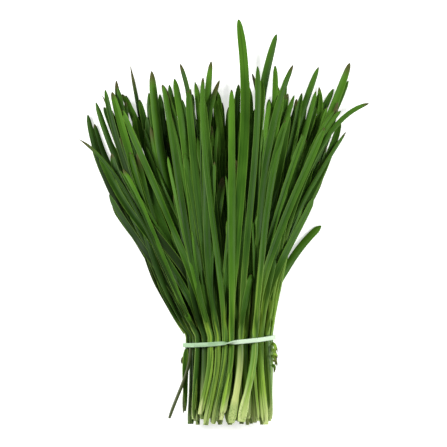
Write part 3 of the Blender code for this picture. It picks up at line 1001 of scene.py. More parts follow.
        # "grain" runs across in metres, along in metres, and from strand to strand.
        wide = new(MATH, (value["across"], value["half_width"]), operation="MULTIPLY")
        grain = new(COMBINE, (wide, value["run"], value["key"]))
        mark = {"Geometry": both, "Name": "grain", "Value": grain}
        marked = new(STORE, mark, data_type="FLOAT_VECTOR", domain="POINT")
        smooth = new("GeometryNodeSetShadeSmooth", {"Geometry": marked})
        real = new("GeometryNodeRealizeInstances", {"Geometry": smooth})
        ends = {"Geometry": real, "Selection": is_cut, "Material": given["Cut finish"]}
        new("NodeGroupOutput", (new("GeometryNodeSetMaterial", ends),))

    def chains(self, name: str, strands: list[Strand]) -> Mesh:
        """A mesh of edge chains that carries the strands' values on its points.

        Args:
            name: the mesh's name.
            strands: what it holds.

        Returns:
            The mesh.
        """
        points = np.vstack([s.centre for s in strands])
        edges = []
        values: dict[str, list[np.ndarray]] = {}
        start = 0
        for strand in strands:
            count = len(strand.centre)
            edges += [(start + i, start + i + 1) for i in range(count - 1)]
            if strand.closed:
                edges.append((start + count - 1, start))
            start += count
            found = {f.name: getattr(strand, f.name) for f in fields(Strand)}
            del found["centre"], found["closed"]
            found["run"] = run_along(strand.centre)
            found["bow"] = strand.half_width / np.asarray(strand.half_bend)
            for label, value in found.items():
                value = np.asarray(value, dtype=float)
                values.setdefault(label, []).append(np.full(count, value) if value.ndim == 0 else value)
        mesh = bpy.data.meshes.new(name)
        mesh.from_pydata(points.tolist(), edges, [])
        for label, parts in values.items():
            flat = np.concatenate(parts)
            kind, slot = ("FLOAT_VECTOR", "vector") if flat.ndim == 2 else ("FLOAT", "value")
            made = mesh.attributes.new(label, kind, "POINT")
            made.data.foreach_set(slot, flat.astype(np.float32).ravel())
        return mesh

    def skin(self, name: str, strands: list[Strand], finishes: tuple[Material, ...], **sizes) -> Object:
        """Skins strands and returns the result as a plain mesh in its place.

        Args:
            name: the new object's name.
            strands: what to skin.
            finishes: of the blades, of the sheaths and of the cut ends.
            **sizes: the inputs that aren't as usual, with _ for a space in their names.

        Returns:
            An object at the origin, without modifiers.
        """
        obj = bpy.data.objects.new(name, self.chains(name, strands))
        bpy.context.scene.collection.objects.link(obj)
        grow = obj.modifiers.new("grow", "NODES")
        grow.node_group = self.tree
        special = {label.replace("_", " "): value for label, value in sizes.items()}
        for label, value in (self.sizes | special | dict(zip(self.finishes, finishes))).items():
            grow[self.names[label]] = value
        graph = bpy.context.evaluated_depsgraph_get()
        mesh = bpy.data.meshes.new_from_object(
            obj.evaluated_get(graph), preserve_all_data_layers=True, depsgraph=graph
        )
        obj.modifiers.clear()
        obj.data = mesh
        mesh.name = name
        labels = [a.name for a in mesh.attributes if not (a.is_required or a.name.startswith("."))]
        for label in labels:
            if label not in self.kept:
                mesh.attributes.remove(mesh.attributes[label])
        shape = bmesh.new()
        shape.from_mesh(mesh)
        bmesh.ops.recalc_face_normals(shape, faces=shape.faces)
        shape.to_mesh(mesh)
        shape.free()
        mesh.set_sharp_from_angle(angle=self.sharp_angle)
        return obj


# ---------------------------------------------------------------- finishes


@dataclass(frozen=True)
class Finish:
    """One real substance. Each kind of finish paints it with nodes of its own."""

    name: str

    def paint(self, new: NewNode) -> dict:
        """Paints the substance.

        Args:
            new: adds a node to the material.

        Returns:
            What goes into the shader's inputs.
        """
        raise NotImplementedError

    def material(self) -> Material:
        """The finish as a material."""
        made = bpy.data.materials.new(self.name)
        made.use_nodes = True
        tree = made.node_tree
        fit(tree, tree.nodes["Principled BSDF"], self.paint(partial(add, tree)))
        return made


@dataclass(frozen=True)
class LeafFinish(Finish):
    """Garlic chive leaf, grown: a satin waxy skin over parallel veins, duller and paler below.

    The wax spreads highlights along the blade, the veins break them into fine lines, and the
    crease shows as one thin line of painted shade.
    """

    shade: str
    lit: str
    base: str
    middle: str
    upper: str
    dark: str
    vein: str = "57861f"
    margin: str = "7fa63c"
    fibre: str = "93b33a"
    skin: str = "b4d06c"
    gloom: str = "11160a"
    shady: str = "26401a"
    sunny: str = "8fb441"
    withered: str = "4a4526"
    roughness: float = 0.5
    # Real veins are about 0.3 mm apart, too fine to show, so they are drawn 0.9 mm apart.
    vein_pitch: float = 0.9 * MM
    streak_width: float = 1.9 * MM
    streak_length: float = 45.0 * MM
    # A sheath's fibres are about 0.5 mm wide, too fine to show, so they are drawn 1.7 mm wide.
    fibre_width: float = 1.7 * MM
    # How many lighter and darker patches there are in a metre, across and along.
    clouds: Pair = (90.0, 38.0)

    def paint(self, new: NewNode) -> dict:
        """Paints the blade, and its lower part as a sheath.

        Args:
            new: adds a node to the material.

        Returns:
            What goes into the shader's inputs.
        """
        grain = new(ATTRIBUTE, attribute_name="grain").outputs["Vector"]
        across, along, tip_gap, tint, dry, rise, pale, cream = (
            new(ATTRIBUTE, attribute_name=name).outputs["Fac"]
            for name in ("across", "along", "tip_gap", "tint", "dry", "rise", "pale", "cream")
        )
        patterns = []
        for scale, detail in (
            ((1 / self.streak_width, 1 / self.streak_length, 3.1), 3.0),
            ((1 / self.fibre_width, 1 / self.streak_length, 5.7), 2.0), ((*self.clouds, 7.3), 2.0)
        ):
            place = new(MAPPING, {"Vector": grain, "Scale": scale})
            patterns.append(new(NOISE, {"Vector": place, "Scale": 1.0, "Detail": detail}))
        streak, fibre, cloud = patterns
        # Light or dark green: the leaf's tint, with painted shade and light from where it lies in the
        # bunch, a painted shade that is darkest halfway and lifts towards both ends, clouds and
        # streaks.
        half = new(MATH, (along, 0.45), operation="SUBTRACT")
        half = new(MATH, (half, half), operation="MULTIPLY")
        level = -0.28
        for part, share in ((half, 2.6), (tint, 0.5), (cloud, 0.9), (streak, 0.9)):
            level = new(MATH, (part, share, level), operation="MULTIPLY_ADD")
        level = new(MATH, (level, 0.4), operation="SUBTRACT", use_clamp=True)
        green = {0: level, 6: linear(self.shade), 7: linear(self.lit)}
        # Painted shade: a leaf from deep in the bunch is darkened nearly to black, except at its tip.
        deep = new(MATH, (tint, -0.9, -0.05), operation="MULTIPLY_ADD", use_clamp=True)
        faded = new(RANGE, (along, 0.5, 1.0, 1.0, 0.1))
        deep = new(MATH, (deep, faded), operation="MULTIPLY")
        # Parallel veins, as faint pale lines.
        phase = new("ShaderNodeSeparateXYZ", (grain,))
        phase = new(MATH, (phase, math.tau / self.vein_pitch), operation="MULTIPLY")
        veins = new(MATH, (phase,), operation="COSINE")
        # The crease is painted shade: a dark line on the upper face.
        off = new(MATH, (across,), operation="ABSOLUTE")
        line = new(RANGE, (off, 0.03, 0.16, 0.45, 0.0))
        top = new(RANGE, (rise, -0.2, 0.4, 0.0, 1.0))
        line = new(MATH, (line, top), operation="MULTIPLY")
        # The sheath's colours show from just above the mouth downwards, further up on the right.
        far = new(MATH, (pale, 0.25, 0.18), operation="MULTIPLY_ADD")
        far = new(MATH, (far, 0.05), operation="MAXIMUM")
        # The tip is brown for as far as the leaf has dried.
        reach = new(MATH, (dry, 0.02, 0.0008), operation="MULTIPLY_ADD")
        gone = new(MATH, (tip_gap, reach), operation="DIVIDE")
        sheath = self.sheath(new, along, off, pale, cream, streak, fibre)
        colour = new(MIX, green, data_type="RGBA").outputs[2]
        for share, coat in (
            (deep, linear(self.gloom)),
            (new(RANGE, (veins, 0.2, 1.0, 0.0, 0.16)), linear(self.vein)),
            (line, linear(self.shade)),
            (new(RANGE, (along, 0.0, far, 0.92, 0.0)), sheath),
            # Each edge is a thin paler margin, partly the leaf's own margin and partly a painted
            # highlight.
            (new(RANGE, (off, 0.84, 0.97, 0.0, 0.36)), linear(self.margin)),
            (new(RANGE, (gone, 0.4, 1.2, 0.85, 0.0)), linear(self.withered)),
        ):
            colour = new(MIX, {0: share, 6: colour, 7: coat}, data_type="RGBA").outputs[2]
        ridge = new(MATH, (veins, 0.25, streak), operation="MULTIPLY_ADD")
        return {
            "Base Color": colour,
            "Roughness": new(RANGE, (cloud, 0.3, 0.7, self.roughness - 0.06, self.roughness + 0.08)),
            "Normal": new(BUMP, {"Height": ridge, "Strength": 0.35, "Distance": 0.12 * MM}),
            "IOR": 1.45, "Specular IOR Level": 0.12
        }

    def sheath(
        self, new: NewNode, along: NodeSocket, off: Node, pale: NodeSocket, cream: NodeSocket,
        streak: Node, fibre: Node
    ) -> NodeSocket:
        """The colour of the part below the mouth, where the leaf is its sheath's outer layer.

        It is pale at the cut, then yellow-green, then green. The left of the bunch is greyer, the
        right yellower.

        Args:
            new: adds a node to the material.
            along: from -1 at the cut to 0 at the mouth.
            off: how far from the middle line, from 0 to 1.
            pale: from -1 at the bunch's left to 1 at its right.
            cream: how much darker (-1) or yellower (1) this sheath is; the darker side partly holds a
            painted shade on sheaths that lie deep in the bunch.
            streak: a slow pattern along the fibres.
            fibre: a finer one.

        Returns:
            The colour.
        """
        reach = new(MATH, (streak, 0.5, 0.72), operation="MULTIPLY_ADD")
        reach = new(MATH, (along, reach), operation="ADD")
        reach = new(MATH, (pale, -0.1, reach), operation="MULTIPLY_ADD")
        ramp = new("ShaderNodeValToRGB", (reach,))
        stops = ramp.color_ramp.elements
        stops[0].position, stops[0].color = 0.02, linear(self.base)
        stops[1].position, stops[1].color = 0.85, linear(self.upper)
        stops.new(0.24).color = linear(self.middle)
        below = new(MATH, (along, -3.0), operation="MULTIPLY", use_clamp=True)
        cream = new(MATH, (cream, below), operation="MULTIPLY")
        fair = new(MATH, (cream, 0.7, 1.0), operation="MULTIPLY_ADD", use_clamp=True)
        low = new(RANGE, (reach, -0.04, 0.19, 0.85, 0.0))
        colour = ramp.outputs[0]
        for share, coat in (
            (new(MATH, (pale, 0.4), operation="MULTIPLY", use_clamp=True), self.sunny),
            (new(MATH, (pale, -0.85), operation="MULTIPLY", use_clamp=True), self.shady),
            # Its fibres are dark and pale streaks.
            (new(RANGE, (fibre, 0.5, 0.6, 0.0, 0.8)), self.dark),
            (new(RANGE, (fibre, 0.46, 0.36, 0.0, 0.6)), self.fibre),
            # Some sheaths are darker or yellower than others, less so towards the mouth; the darkening
            # holds a painted shade on sheaths that lie deep in the bunch.
            (new(MATH, (cream, -0.9), operation="MULTIPLY", use_clamp=True), self.dark),
            (new(MATH, (cream, 0.75), operation="MULTIPLY", use_clamp=True), self.sunny),
            # Its dry margin is a pale line, and its lowest part is pale through and through.
            (new(RANGE, (off, 0.74, 0.92, 0.0, 0.5)), self.skin),
            (new(MATH, (low, fair), operation="MULTIPLY"), self.base),
        ):
            colour = new(MIX, {0: share, 6: colour, 7: linear(coat)}, data_type="RGBA").outputs[2]
        return colour


@dataclass(frozen=True)
class SheathFinish(Finish):
    """Leaf sheath, grown: pale and juicy at the cut end, green and streaked towards the mouth.

    The wet cells near the cut let a little light in, and long streaks follow the fibres.
    """

    base: str
    middle: str
    upper: str
    streak: str
    cream: str = "bfca7c"
    margin: str = "bccd72"
    withered: str = "434d26"
    roughness: float = 0.4
    streak_width: float = 0.6 * MM
    streak_length: float = 38.0 * MM
    speckle_size: float = 1.1 * MM

    def paint(self, new: NewNode) -> dict:
        """Paints the tube.

        Args:
            new: adds a node to the material.

        Returns:
            What goes into the shader's inputs.
        """
        grain = new(ATTRIBUTE, attribute_name="grain").outputs["Vector"]
        along, tint, pale, cream, dry, edge = (
            new(ATTRIBUTE, attribute_name=name).outputs["Fac"]
            for name in ("along", "tint", "pale", "cream", "dry", "edge")
        )
        finer = (1 / self.streak_width, 1 / self.streak_length, 5.7)
        place = new(MAPPING, {"Vector": grain, "Scale": finer})
        streak = new(NOISE, {"Vector": place, "Scale": 1.0, "Detail": 3.0})
        # How far along the colours are: later on a pale shoot, and uneven from streak to streak.
        reach = new(MATH, (pale, -0.35, along), operation="MULTIPLY_ADD")
        reach = new(MATH, (streak, 0.35, reach), operation="MULTIPLY_ADD")
        ramp = new("ShaderNodeValToRGB", (reach,))
        stops = ramp.color_ramp.elements
        stops[0].position, stops[0].color = 0.08, linear(self.base)
        stops[1].position, stops[1].color = 0.85, linear(self.upper)
        stops.new(0.42).color = linear(self.middle)
        shade = new(RANGE, (streak, 0.42, 0.75, 0.0, 0.6))
        # The swollen end is speckled with green.
        speckle = new(NOISE, {"Vector": grain, "Scale": 1 / self.speckle_size})
        low = new(RANGE, (along, 0.12, 0.3, 0.6, 0.0))
        dots = new(RANGE, (speckle, 0.5, 0.62, 0.0, 1.0))
        # The cream layer bares the middle of its shoot, between a green top and a green end.
        bare = new(RANGE, (along, 0.16, 0.24, 0.0, 1.0))
        end = new(RANGE, (along, 0.4, 0.8, 1.0, 0.1))
        fleck = new(RANGE, (streak, 0.45, 0.7, 1.0, 0.5))
        for part in (end, cream, fleck):
            bare = new(MATH, (bare, part), operation="MULTIPLY")
        colour = ramp.outputs[0]
        for share, coat in (
            # Dark streaks, and painted shade by the tint on a tube that lies deep in the bunch.
            (new(MATH, (tint, -0.3, shade), operation="MULTIPLY_ADD", use_clamp=True), self.streak),
            (new(MATH, (dots, low), operation="MULTIPLY"), self.middle),
            # The outer layer's thin margin is a pale line.
            (new(RANGE, (edge, 0.7, 0.95, 0.0, 0.55)), self.margin),
            (bare, self.cream),
            (dry, self.withered),
        ):
            colour = new(MIX, {0: share, 6: colour, 7: linear(coat)}, data_type="RGBA").outputs[2]
        return {
            "Base Color": colour, "Roughness": self.roughness,
            "Normal": new(BUMP, {"Height": streak, "Strength": 0.5, "Distance": 0.2 * MM}), "IOR": 1.42
        }


@dataclass(frozen=True)
class CutFinish(Finish):
    """Knife-cut stem end: moist, pale lime, with the rim of each layer a little greener."""

    name: str = "cut stem end, moist"
    flesh: str = "bcc58c"
    rim: str = "85994c"
    roughness: float = 0.3
    # The layers are about 0.6 mm thick; the pattern across them is drawn at that size.
    layer: float = 0.6 * MM

    def paint(self, new: NewNode) -> dict:
        """Paints the cut face.

        Args:
            new: adds a node to the material.

        Returns:
            What goes into the shader's inputs.
        """
        place = new("ShaderNodeTexCoord").outputs["Object"]
        speckle = new(NOISE, {"Vector": place, "Scale": 1 / self.layer, "Detail": 2.0})
        share = new(RANGE, (speckle, 0.35, 0.7, 0.0, 1.0))
        both = {0: share, 6: linear(self.flesh), 7: linear(self.rim)}
        return {
            "Base Color": new(MIX, both, data_type="RGBA").outputs[2], "Roughness": self.roughness,
            "Normal": new(BUMP, {"Height": speckle, "Strength": 0.4, "Distance": 0.15 * MM})
        }


@dataclass(frozen=True)
class BandFinish(Finish):
    """Natural latex rubber, dyed mint and cut from a tube: soft matt, with fine cut lines.

    One face is paler, the other painted duller, a painted shade. The half turns show the paler one next
    to the duller one.
    """

    name: str = "mint latex rubber, cut"
    # The paler face has the band's own colour; the other is painted duller, a painted shade.
    outside: str = "88ab80"
    inside: str = "c6dcc0"
    worn: str = "cfe2c9"
    roughness: float = 0.5
    # Cut lines on latex bands are about 0.1 mm apart, too fine to show, so 0.5 mm is drawn.
    line_pitch: float = 0.5 * MM

    def paint(self, new: NewNode) -> dict:
        """Paints both faces.

        Args:
            new: adds a node to the material.

        Returns:
            What goes into the shader's inputs.
        """
        grain = new(ATTRIBUTE, attribute_name="grain").outputs["Vector"]
        rise = new(ATTRIBUTE, attribute_name="rise").outputs["Fac"]
        place = new(MAPPING, {"Vector": grain, "Scale": (1 / self.line_pitch, 60.0, 1.0)})
        lines = new(NOISE, {"Vector": place, "Scale": 1.0, "Detail": 3.0})
        colour = linear(self.outside)
        for share, coat in (
            # Painted shade: the face that rise marks -1 is painted duller.
            (new(RANGE, (rise, -0.5, 0.5, 0.0, 1.0)), self.inside),
            (new(RANGE, (lines, 0.4, 0.7, 0.0, 0.35)), self.worn)
        ):
            colour = new(MIX, {0: share, 6: colour, 7: linear(coat)}, data_type="RGBA").outputs[2]
        return {
            "Base Color": colour, "Roughness": self.roughness,
            "Normal": new(BUMP, {"Height": lines, "Strength": 0.4, "Distance": 0.1 * MM}), "IOR": 1.52
        }


# ---------------------------------------------------------------- shoots


@dataclass
class SheathLine:
    """The finer course of one sheath, ring by ring from its cut end to its mouth."""

    centre: np.ndarray
    half_width: np.ndarray
    half_thick: np.ndarray
    share: np.ndarray
    heel: np.ndarray
    lip: np.ndarray
    wrapped_from: float


@dataclass
class BladeShape:
    """How a leaf of the growth rule becomes a blade.

    The topmost leaf of a shoot starts as the outer layer of its sheath: an open gutter round the
    tube, which unrolls past the mouth. The other leaves start inside the tube.
    """

    thick: float = 0.5 * MM
    open_length: float = 20.0 * MM
    open_spread: Pair = (0.8, 1.25)
    # How thick it still is inside its sheath, and at its very tip.
    root_thin: float = 0.4
    tip_thin: float = 0.55
    wrap_bend: Pair = (math.radians(52), math.radians(80))
    wrap_turn: float = math.radians(24)
    # The outer layer's lower end: how much of its width is left at its end, and over what length.
    end_cover: float = 0.45
    end_length: float = 6.0 * MM
    inner_bend: float = math.radians(34)
    blade_bend: Pair = (math.radians(4), math.radians(12))
    crease_angle: Pair = (math.radians(7), math.radians(20))
    folded_angle: Pair = (math.radians(26), math.radians(44))
    folded_share: float = 0.45
    # A leaf that stands out is folded this much as far.
    outstanding_fold: float = 0.6
    wave: float = 0.5 * MM
    tip_round: Pair = (5.0 * MM, 8.0 * MM)
    # How much longer than that its tip is, and how wide the blade is there.
    grown_tip: Pair = (1.0, 0.5)
    dried_tip: Pair = (3.0, 0.2)
    stub_tip: Pair = (0.4, 0.9)
    tip_end: float = 0.05
    rings: int = 32
    root_rings: int = 5
    tip_rings: int = 8
    dry_width: float = 3.3 * MM
    # A leaf on top that ends before this y is a pale stub, torn off short.
    stub_y: float = 60.0 * MM
    palest_tint: float = 0.5
    tint_spread: float = 0.6
    cream_spread: float = 0.5
    cream_ends: Pair = (-0.9, 0.9)
    stub_cream: float = 0.5
    # How much darker the sheaths at the bunch's left side are.
    left_shade: float = 0.4
    dry_spread: float = 0.25
    # Where this station of a leaf is decides how dark the leaf is: the left is darker than the
    # right, both sides are darker than the middle, and low is darker than high, a painted shade of
    # the leaves that lie over it.
    colour_station: int = 4
    low_shade: float = 0.4
    high_tint: float = 0.8
    side_x: float = 90.0 * MM
    side_shade: float = 0.45
    light_z: float = 30.0 * MM
    # A leaf that reaches past this y is darker, by this much.
    tall_y: float = 215.0 * MM
    tall_shade: float = 1.1
    # The leaves in the dip at the middle of the crown are painted lighter, a painted light against
    # the shade that falls in the dip.
    dip_x: float = -6.0 * MM
    dip_width: float = 14.0 * MM
    dip_tint: float = 0.45

    def strand(self, leaf: Leaf, shoot: Shoot, growth: Growth, line: SheathLine) -> Strand:
        """Shapes one leaf.

        Args:
            leaf: its stations.
            shoot: the shoot that it grows from.
            growth: the rule's sizes.
            line: the shoot's finer sheath.

        Returns:
            The blade as a strand, with its tip last.
        """
        rng = shoot.chance(growth.seed, leaf.index)
        length = np.linalg.norm(np.diff(leaf.points[1:, :2], axis=0), axis=1).sum()
        dried = leaf.stands_out and leaf.widths.max() < self.dry_width
        stub = leaf.stands_out and leaf.handles[3, 1] < self.stub_y
        long, wide = self.dried_tip if dried else self.stub_tip if stub else self.grown_tip
        end = rng.uniform(*self.tip_round) * long / length
        turn = np.linspace(0, math.pi / 2, self.tip_rings + 1)[1:]
        share = np.concatenate(
            [np.linspace(0, 1 - end, self.rings), 1 - end * (1 - np.sin(turn)) - 1e-6]
        )
        outer = leaf.index == len(shoot.leaves) - 1
        root, radii = self.outer_root(line) if outer else self.inner_root(leaf, line)
        count = len(root)
        rounding = np.concatenate([np.ones(self.rings), np.maximum(np.cos(turn), self.tip_end)])
        centre = np.zeros((count + len(share), 3))
        centre[:count] = root
        centre[count:, :2] = on_route(leaf.handles, share)
        before = np.linalg.norm(root[:, :2] - leaf.points[1, :2], axis=1) / length
        places = np.concatenate([-before, share])
        root_share = -np.linalg.norm(leaf.points[1, :2] - leaf.points[0, :2]) / length
        stations = np.array([root_share, *leaf.shares])
        inside = np.maximum(places, root_share)
        centre[count:, 2] = smooth_through(stations, leaf.points[:, 2], share)
        widths = leaf.widths.copy()
        widths[-1] = widths[-2] / growth.taper[-2] * wide
        half_width = smooth_through(stations, widths, inside) / 2
        half_width[count:] *= rounding
        roll = smooth_through(stations, leaf.rolls, inside)
        open_length = self.open_length * rng.uniform(*self.open_spread)
        opened = ease((inside - root_share) * length / open_length)
        keel_up = leaf.index >= len(shoot.leaves) / 2
        outermost = outer or leaf.index == 0
        blade_bend = rng.uniform(*self.blade_bend)
        wrap_bend = rng.uniform(*self.wrap_bend) if outermost else self.inner_bend
        if outer:
            step = np.linalg.norm(centre - centre[0], axis=1) / self.end_length
            wrap_bend = wrap_bend * mix(self.end_cover, 1.0, np.sqrt(np.clip(step, 0, 1)))
        half_bend = mix(wrap_bend, blade_bend, opened)
        half_thick = self.thick / 2 * mix(self.root_thin, 1.0, opened)
        half_thick[count:] *= mix(self.tip_thin, 1.0, rounding)
        folded = rng.uniform() < self.folded_share
        fold = rng.uniform(*(self.folded_angle if folded else self.crease_angle))
        if leaf.stands_out:
            fold *= self.outstanding_fold
        else:
            half_width *= mix(1.0, math.cos(fold), opened)
        crease = half_width * math.tan(fold) * opened
        if outermost:
            wall = np.concatenate([radii, np.full(len(share), line.half_width[-1])])
            half_width = mix(wall * wrap_bend, half_width, opened)
            over = line.half_thick[-1]
            hug = shoot.z + (over if keel_up else -over)
            centre[count:, 2] += ((hug - leaf.points[0, 2]) * (1 - opened))[count:]
        if outer:
            swing = rng.uniform(-1, 1) * self.wrap_turn * (1 - opened)
            roll = roll + swing
            path = frames_along(centre, np.zeros(len(centre)))
            centre -= path[0] * (wall * np.sin(swing))[:, None]
            centre += path[1] * (wall * (np.cos(swing) - 1))[:, None]
        side, face = frames_along(centre, roll)
        if keel_up:
            side, face = -side, -face
        below = np.linalg.norm(line.centre[-1] - line.centre[0]) / length
        return Strand(
            centre=centre, side=side, up=face, half_width=half_width, half_thick=half_thick,
            half_bend=half_bend, crease=crease, wave=self.wave * opened,
            along=np.where(places < 0, places / below, places),
            tip_gap=(1 - np.clip(places, 0, 1)) * length, key=shoot.key(leaf.index),
            **self.colours(leaf, shoot, rng, dried, stub)
        )

    def colours(
        self, leaf: Leaf, shoot: Shoot, rng: np.random.Generator, dried: bool, stub: bool
    ) -> dict[str, float]:
        """Works out what a blade's colours go by.

        Args:
            leaf: its stations.
            shoot: the shoot that it grows from.
            rng: the source of chance.
            dried: whether it is a narrow, dried leaf.
            stub: whether it is torn off short.

        Returns:
            The strand's tint, pale, dry and cream.
        """
        x, _, z = leaf.points[self.colour_station]
        leftness = np.clip(-x / self.side_x, -1, 1)
        shade = leftness + self.side_shade * abs(leftness)
        shade += self.tall_shade * (leaf.handles[3, 1] > self.tall_y)
        # Painted light: the leaves in the dip are painted lighter.
        shade -= self.dip_tint * math.exp(-(((x - self.dip_x) / self.dip_width) ** 2))
        # Painted shade: the lower the leaf lies, the darker it is.
        tint = self.tint_spread * rng.uniform(-1, 1) + self.high_tint * (z / self.light_z)
        tint -= shade
        tint -= self.low_shade
        tint = float(min(tint, self.palest_tint))
        dry = 1.0 if dried else 0.0 if stub else float(max(0.0, rng.normal(0.0, self.dry_spread)))
        # Painted shade: a sheath deep in the bunch is darker.
        fair = self.left_shade * min(shoot.rightness, 0) - BURIED_SHADE * shoot.buried
        cream = self.stub_cream
        if not stub:
            cream = float(np.clip(rng.normal(fair, self.cream_spread), *self.cream_ends))
        return {"tint": 1.0 if stub else tint, "pale": shoot.rightness, "dry": dry, "cream": cream}

    def inner_root(self, leaf: Leaf, line: SheathLine) -> tuple[np.ndarray, np.ndarray]:
        """The root of a leaf that starts inside its tube.

        Args:
            leaf: its stations.
            line: the shoot's finer sheath.

        Returns:
            The root's points up to the mouth, and the tube's radii there.
        """
        share = np.linspace(0, 1, self.root_rings, endpoint=False)[:, None]
        points = leaf.points[0] + share * (leaf.points[1] - leaf.points[0])
        return points, np.full(self.root_rings, line.half_width[-1])

    def outer_root(self, line: SheathLine) -> tuple[np.ndarray, np.ndarray]:
        """The root of the leaf that wraps its tube.

        Args:
            line: the shoot's finer sheath.

        Returns:
            The root's points up to the mouth, and the tube's radii there.
        """
        kept = line.centre[:, 1] > line.wrapped_from
        kept[-1] = False
        points = line.centre[kept].copy()
        points[:, 2] += line.half_thick[kept]
        return points, line.half_width[kept]


@dataclass
class YoungLeaf:
    """The younger leaves that rise beside an older one from the same sheath."""

    seed: int = 5
    share: float = 0.9
    # Of the first and of the second younger leaf: width, share of the older one's length, and
    # how far it strays from the older one.
    width: tuple[Pair, ...] = ((1.8 * MM, 3.6 * MM), (3.4 * MM, 5.4 * MM))
    reach: tuple[Pair, ...] = ((0.35, 0.92), (0.7, 0.98))
    stray: tuple[Pair, ...] = ((3.0 * MM, 9.0 * MM), (4.0 * MM, 8.0 * MM))
    # How much of that it has strayed at its curve's third handle.
    early_stray: float = 0.45
    roll: float = math.radians(35)
    # There is none beside an older leaf that lies higher or ends before the first y, none
    # reaches past the second y, or in the dip past the third. All stray towards the dip, apart
    # from the second ones of the inner leaves, which cross the others.
    highest: float = 37.0 * MM
    nearest: float = 95.0 * MM
    furthest: float = 186.0 * MM
    dip_furthest: float = 166.0 * MM
    dip_x: float = -5.0 * MM
    dip_half_width: float = 14.0 * MM
    inner_x: float = 60.0 * MM

    def leaf(self, older: Leaf, shoot: Shoot, growth: Growth, order: int) -> Leaf | None:
        """Works out a younger leaf beside an older one.

        Args:
            older: the leaf that it rises beside.
            shoot: the shoot of both.
            growth: the rule's sizes.
            order: 0 for the first younger leaf, 1 for the second.

        Returns:
            The younger leaf's stations, or None where there is none.
        """
        rng = shoot.chance(growth.seed, older.index, self.seed + order)
        tip_x, tip_y = older.handles[3]
        skipped = rng.uniform() > self.share or shoot.width < growth.sheath_width[0]
        if skipped or tip_y < self.nearest or older.points[:, 2].max() > self.highest:
            return None
        in_dip = abs(tip_x - self.dip_x) < self.dip_half_width
        furthest = self.dip_furthest if in_dip else self.furthest
        reach = rng.uniform(*self.reach[order]) * min(1.0, furthest / tip_y)
        # The first part of the older leaf's curve, up to reach, as a curve of its own.
        rows = [older.handles]
        while len(rows[-1]) > 1:
            rows.append(rows[-1][:-1] * (1 - reach) + rows[-1][1:] * reach)
        handles = np.array([row[0] for row in rows])
        ahead = handles[3] - handles[2]
        across = np.array([ahead[1], -ahead[0]]) / np.linalg.norm(ahead)
        outwards = order == 1 and not in_dip and abs(tip_x) < self.inner_x
        to_right = np.sign(self.dip_x - tip_x) * (-1 if outwards else 1)
        stray = across * to_right * rng.uniform(*self.stray[order])
        handles[2] += self.early_stray * stray
        handles[3] += stray
        points = older.points.copy()
        points[1:, :2] = on_route(handles, older.shares)
        points[1:, 2] = np.interp(older.shares * reach, older.shares, older.points[1:, 2])
        widths = older.widths * rng.uniform(*self.width[order]) / older.widths.max()
        rolls = older.rolls + rng.uniform(-1, 1) * self.roll * np.array(growth.roll_build)
        index = 10 * (order + 1) + older.index
        return Leaf(points, widths, rolls, older.shares, handles, index, False)


@dataclass
class BladePile:
    """Lays the finer blades on each other in the order in which their leaves were laid."""

    growth: Growth
    gap: float = 0.05 * MM
    most_lift: float = 2.5 * MM
    reach: float = 5.0 * MM
    # How far apart the points are along a blade, in cells, and how many there are across it.
    step: float = 0.8
    points_across: int = 21

    def __post_init__(self) -> None:
        """Starts with bare table."""
        self.pile = Pile(0.0)

    def lay(self, strand: Strand, mouth_y: float) -> None:
        """Lifts a blade smoothly until it is clear of the pile, and adds it to the pile.

        Args:
            strand: the blade.
            mouth_y: where it comes out of its sheath.
        """
        length = np.linalg.norm(np.diff(strand.centre, axis=0), axis=1).sum()
        count = int(length / (self.step * self.pile.cell))
        place = np.linspace(0, len(strand.centre) - 1, count)
        across = np.linspace(-1, 1, self.points_across)
        faces = [strand.surface(place, across, face) for face in (1.0, -1.0)]
        need = np.maximum(*(self.pile.at(f) - f[..., 2] for f in faces)).max(axis=1) + self.gap
        need[faces[0][..., 1].min(axis=1) < mouth_y + self.growth.free_length] = 0
        need = np.clip(need, 0, self.most_lift)
        window = max(3, int(self.reach / length * count)) | 1
        half = window // 2
        wide = np.lib.stride_tricks.sliding_window_view(np.pad(need, half, mode="edge"), window)
        envelope = np.pad(wide.max(axis=1), half, mode="edge")
        hann = np.hanning(window + 2)[1:-1]
        lift = np.convolve(envelope, hann / hann.sum(), mode="valid")
        for face in faces:
            face[..., 2] += lift[:, None]
            self.pile.add(face)
        strand.centre[:, 2] += np.interp(np.arange(len(strand.centre)), place, lift)


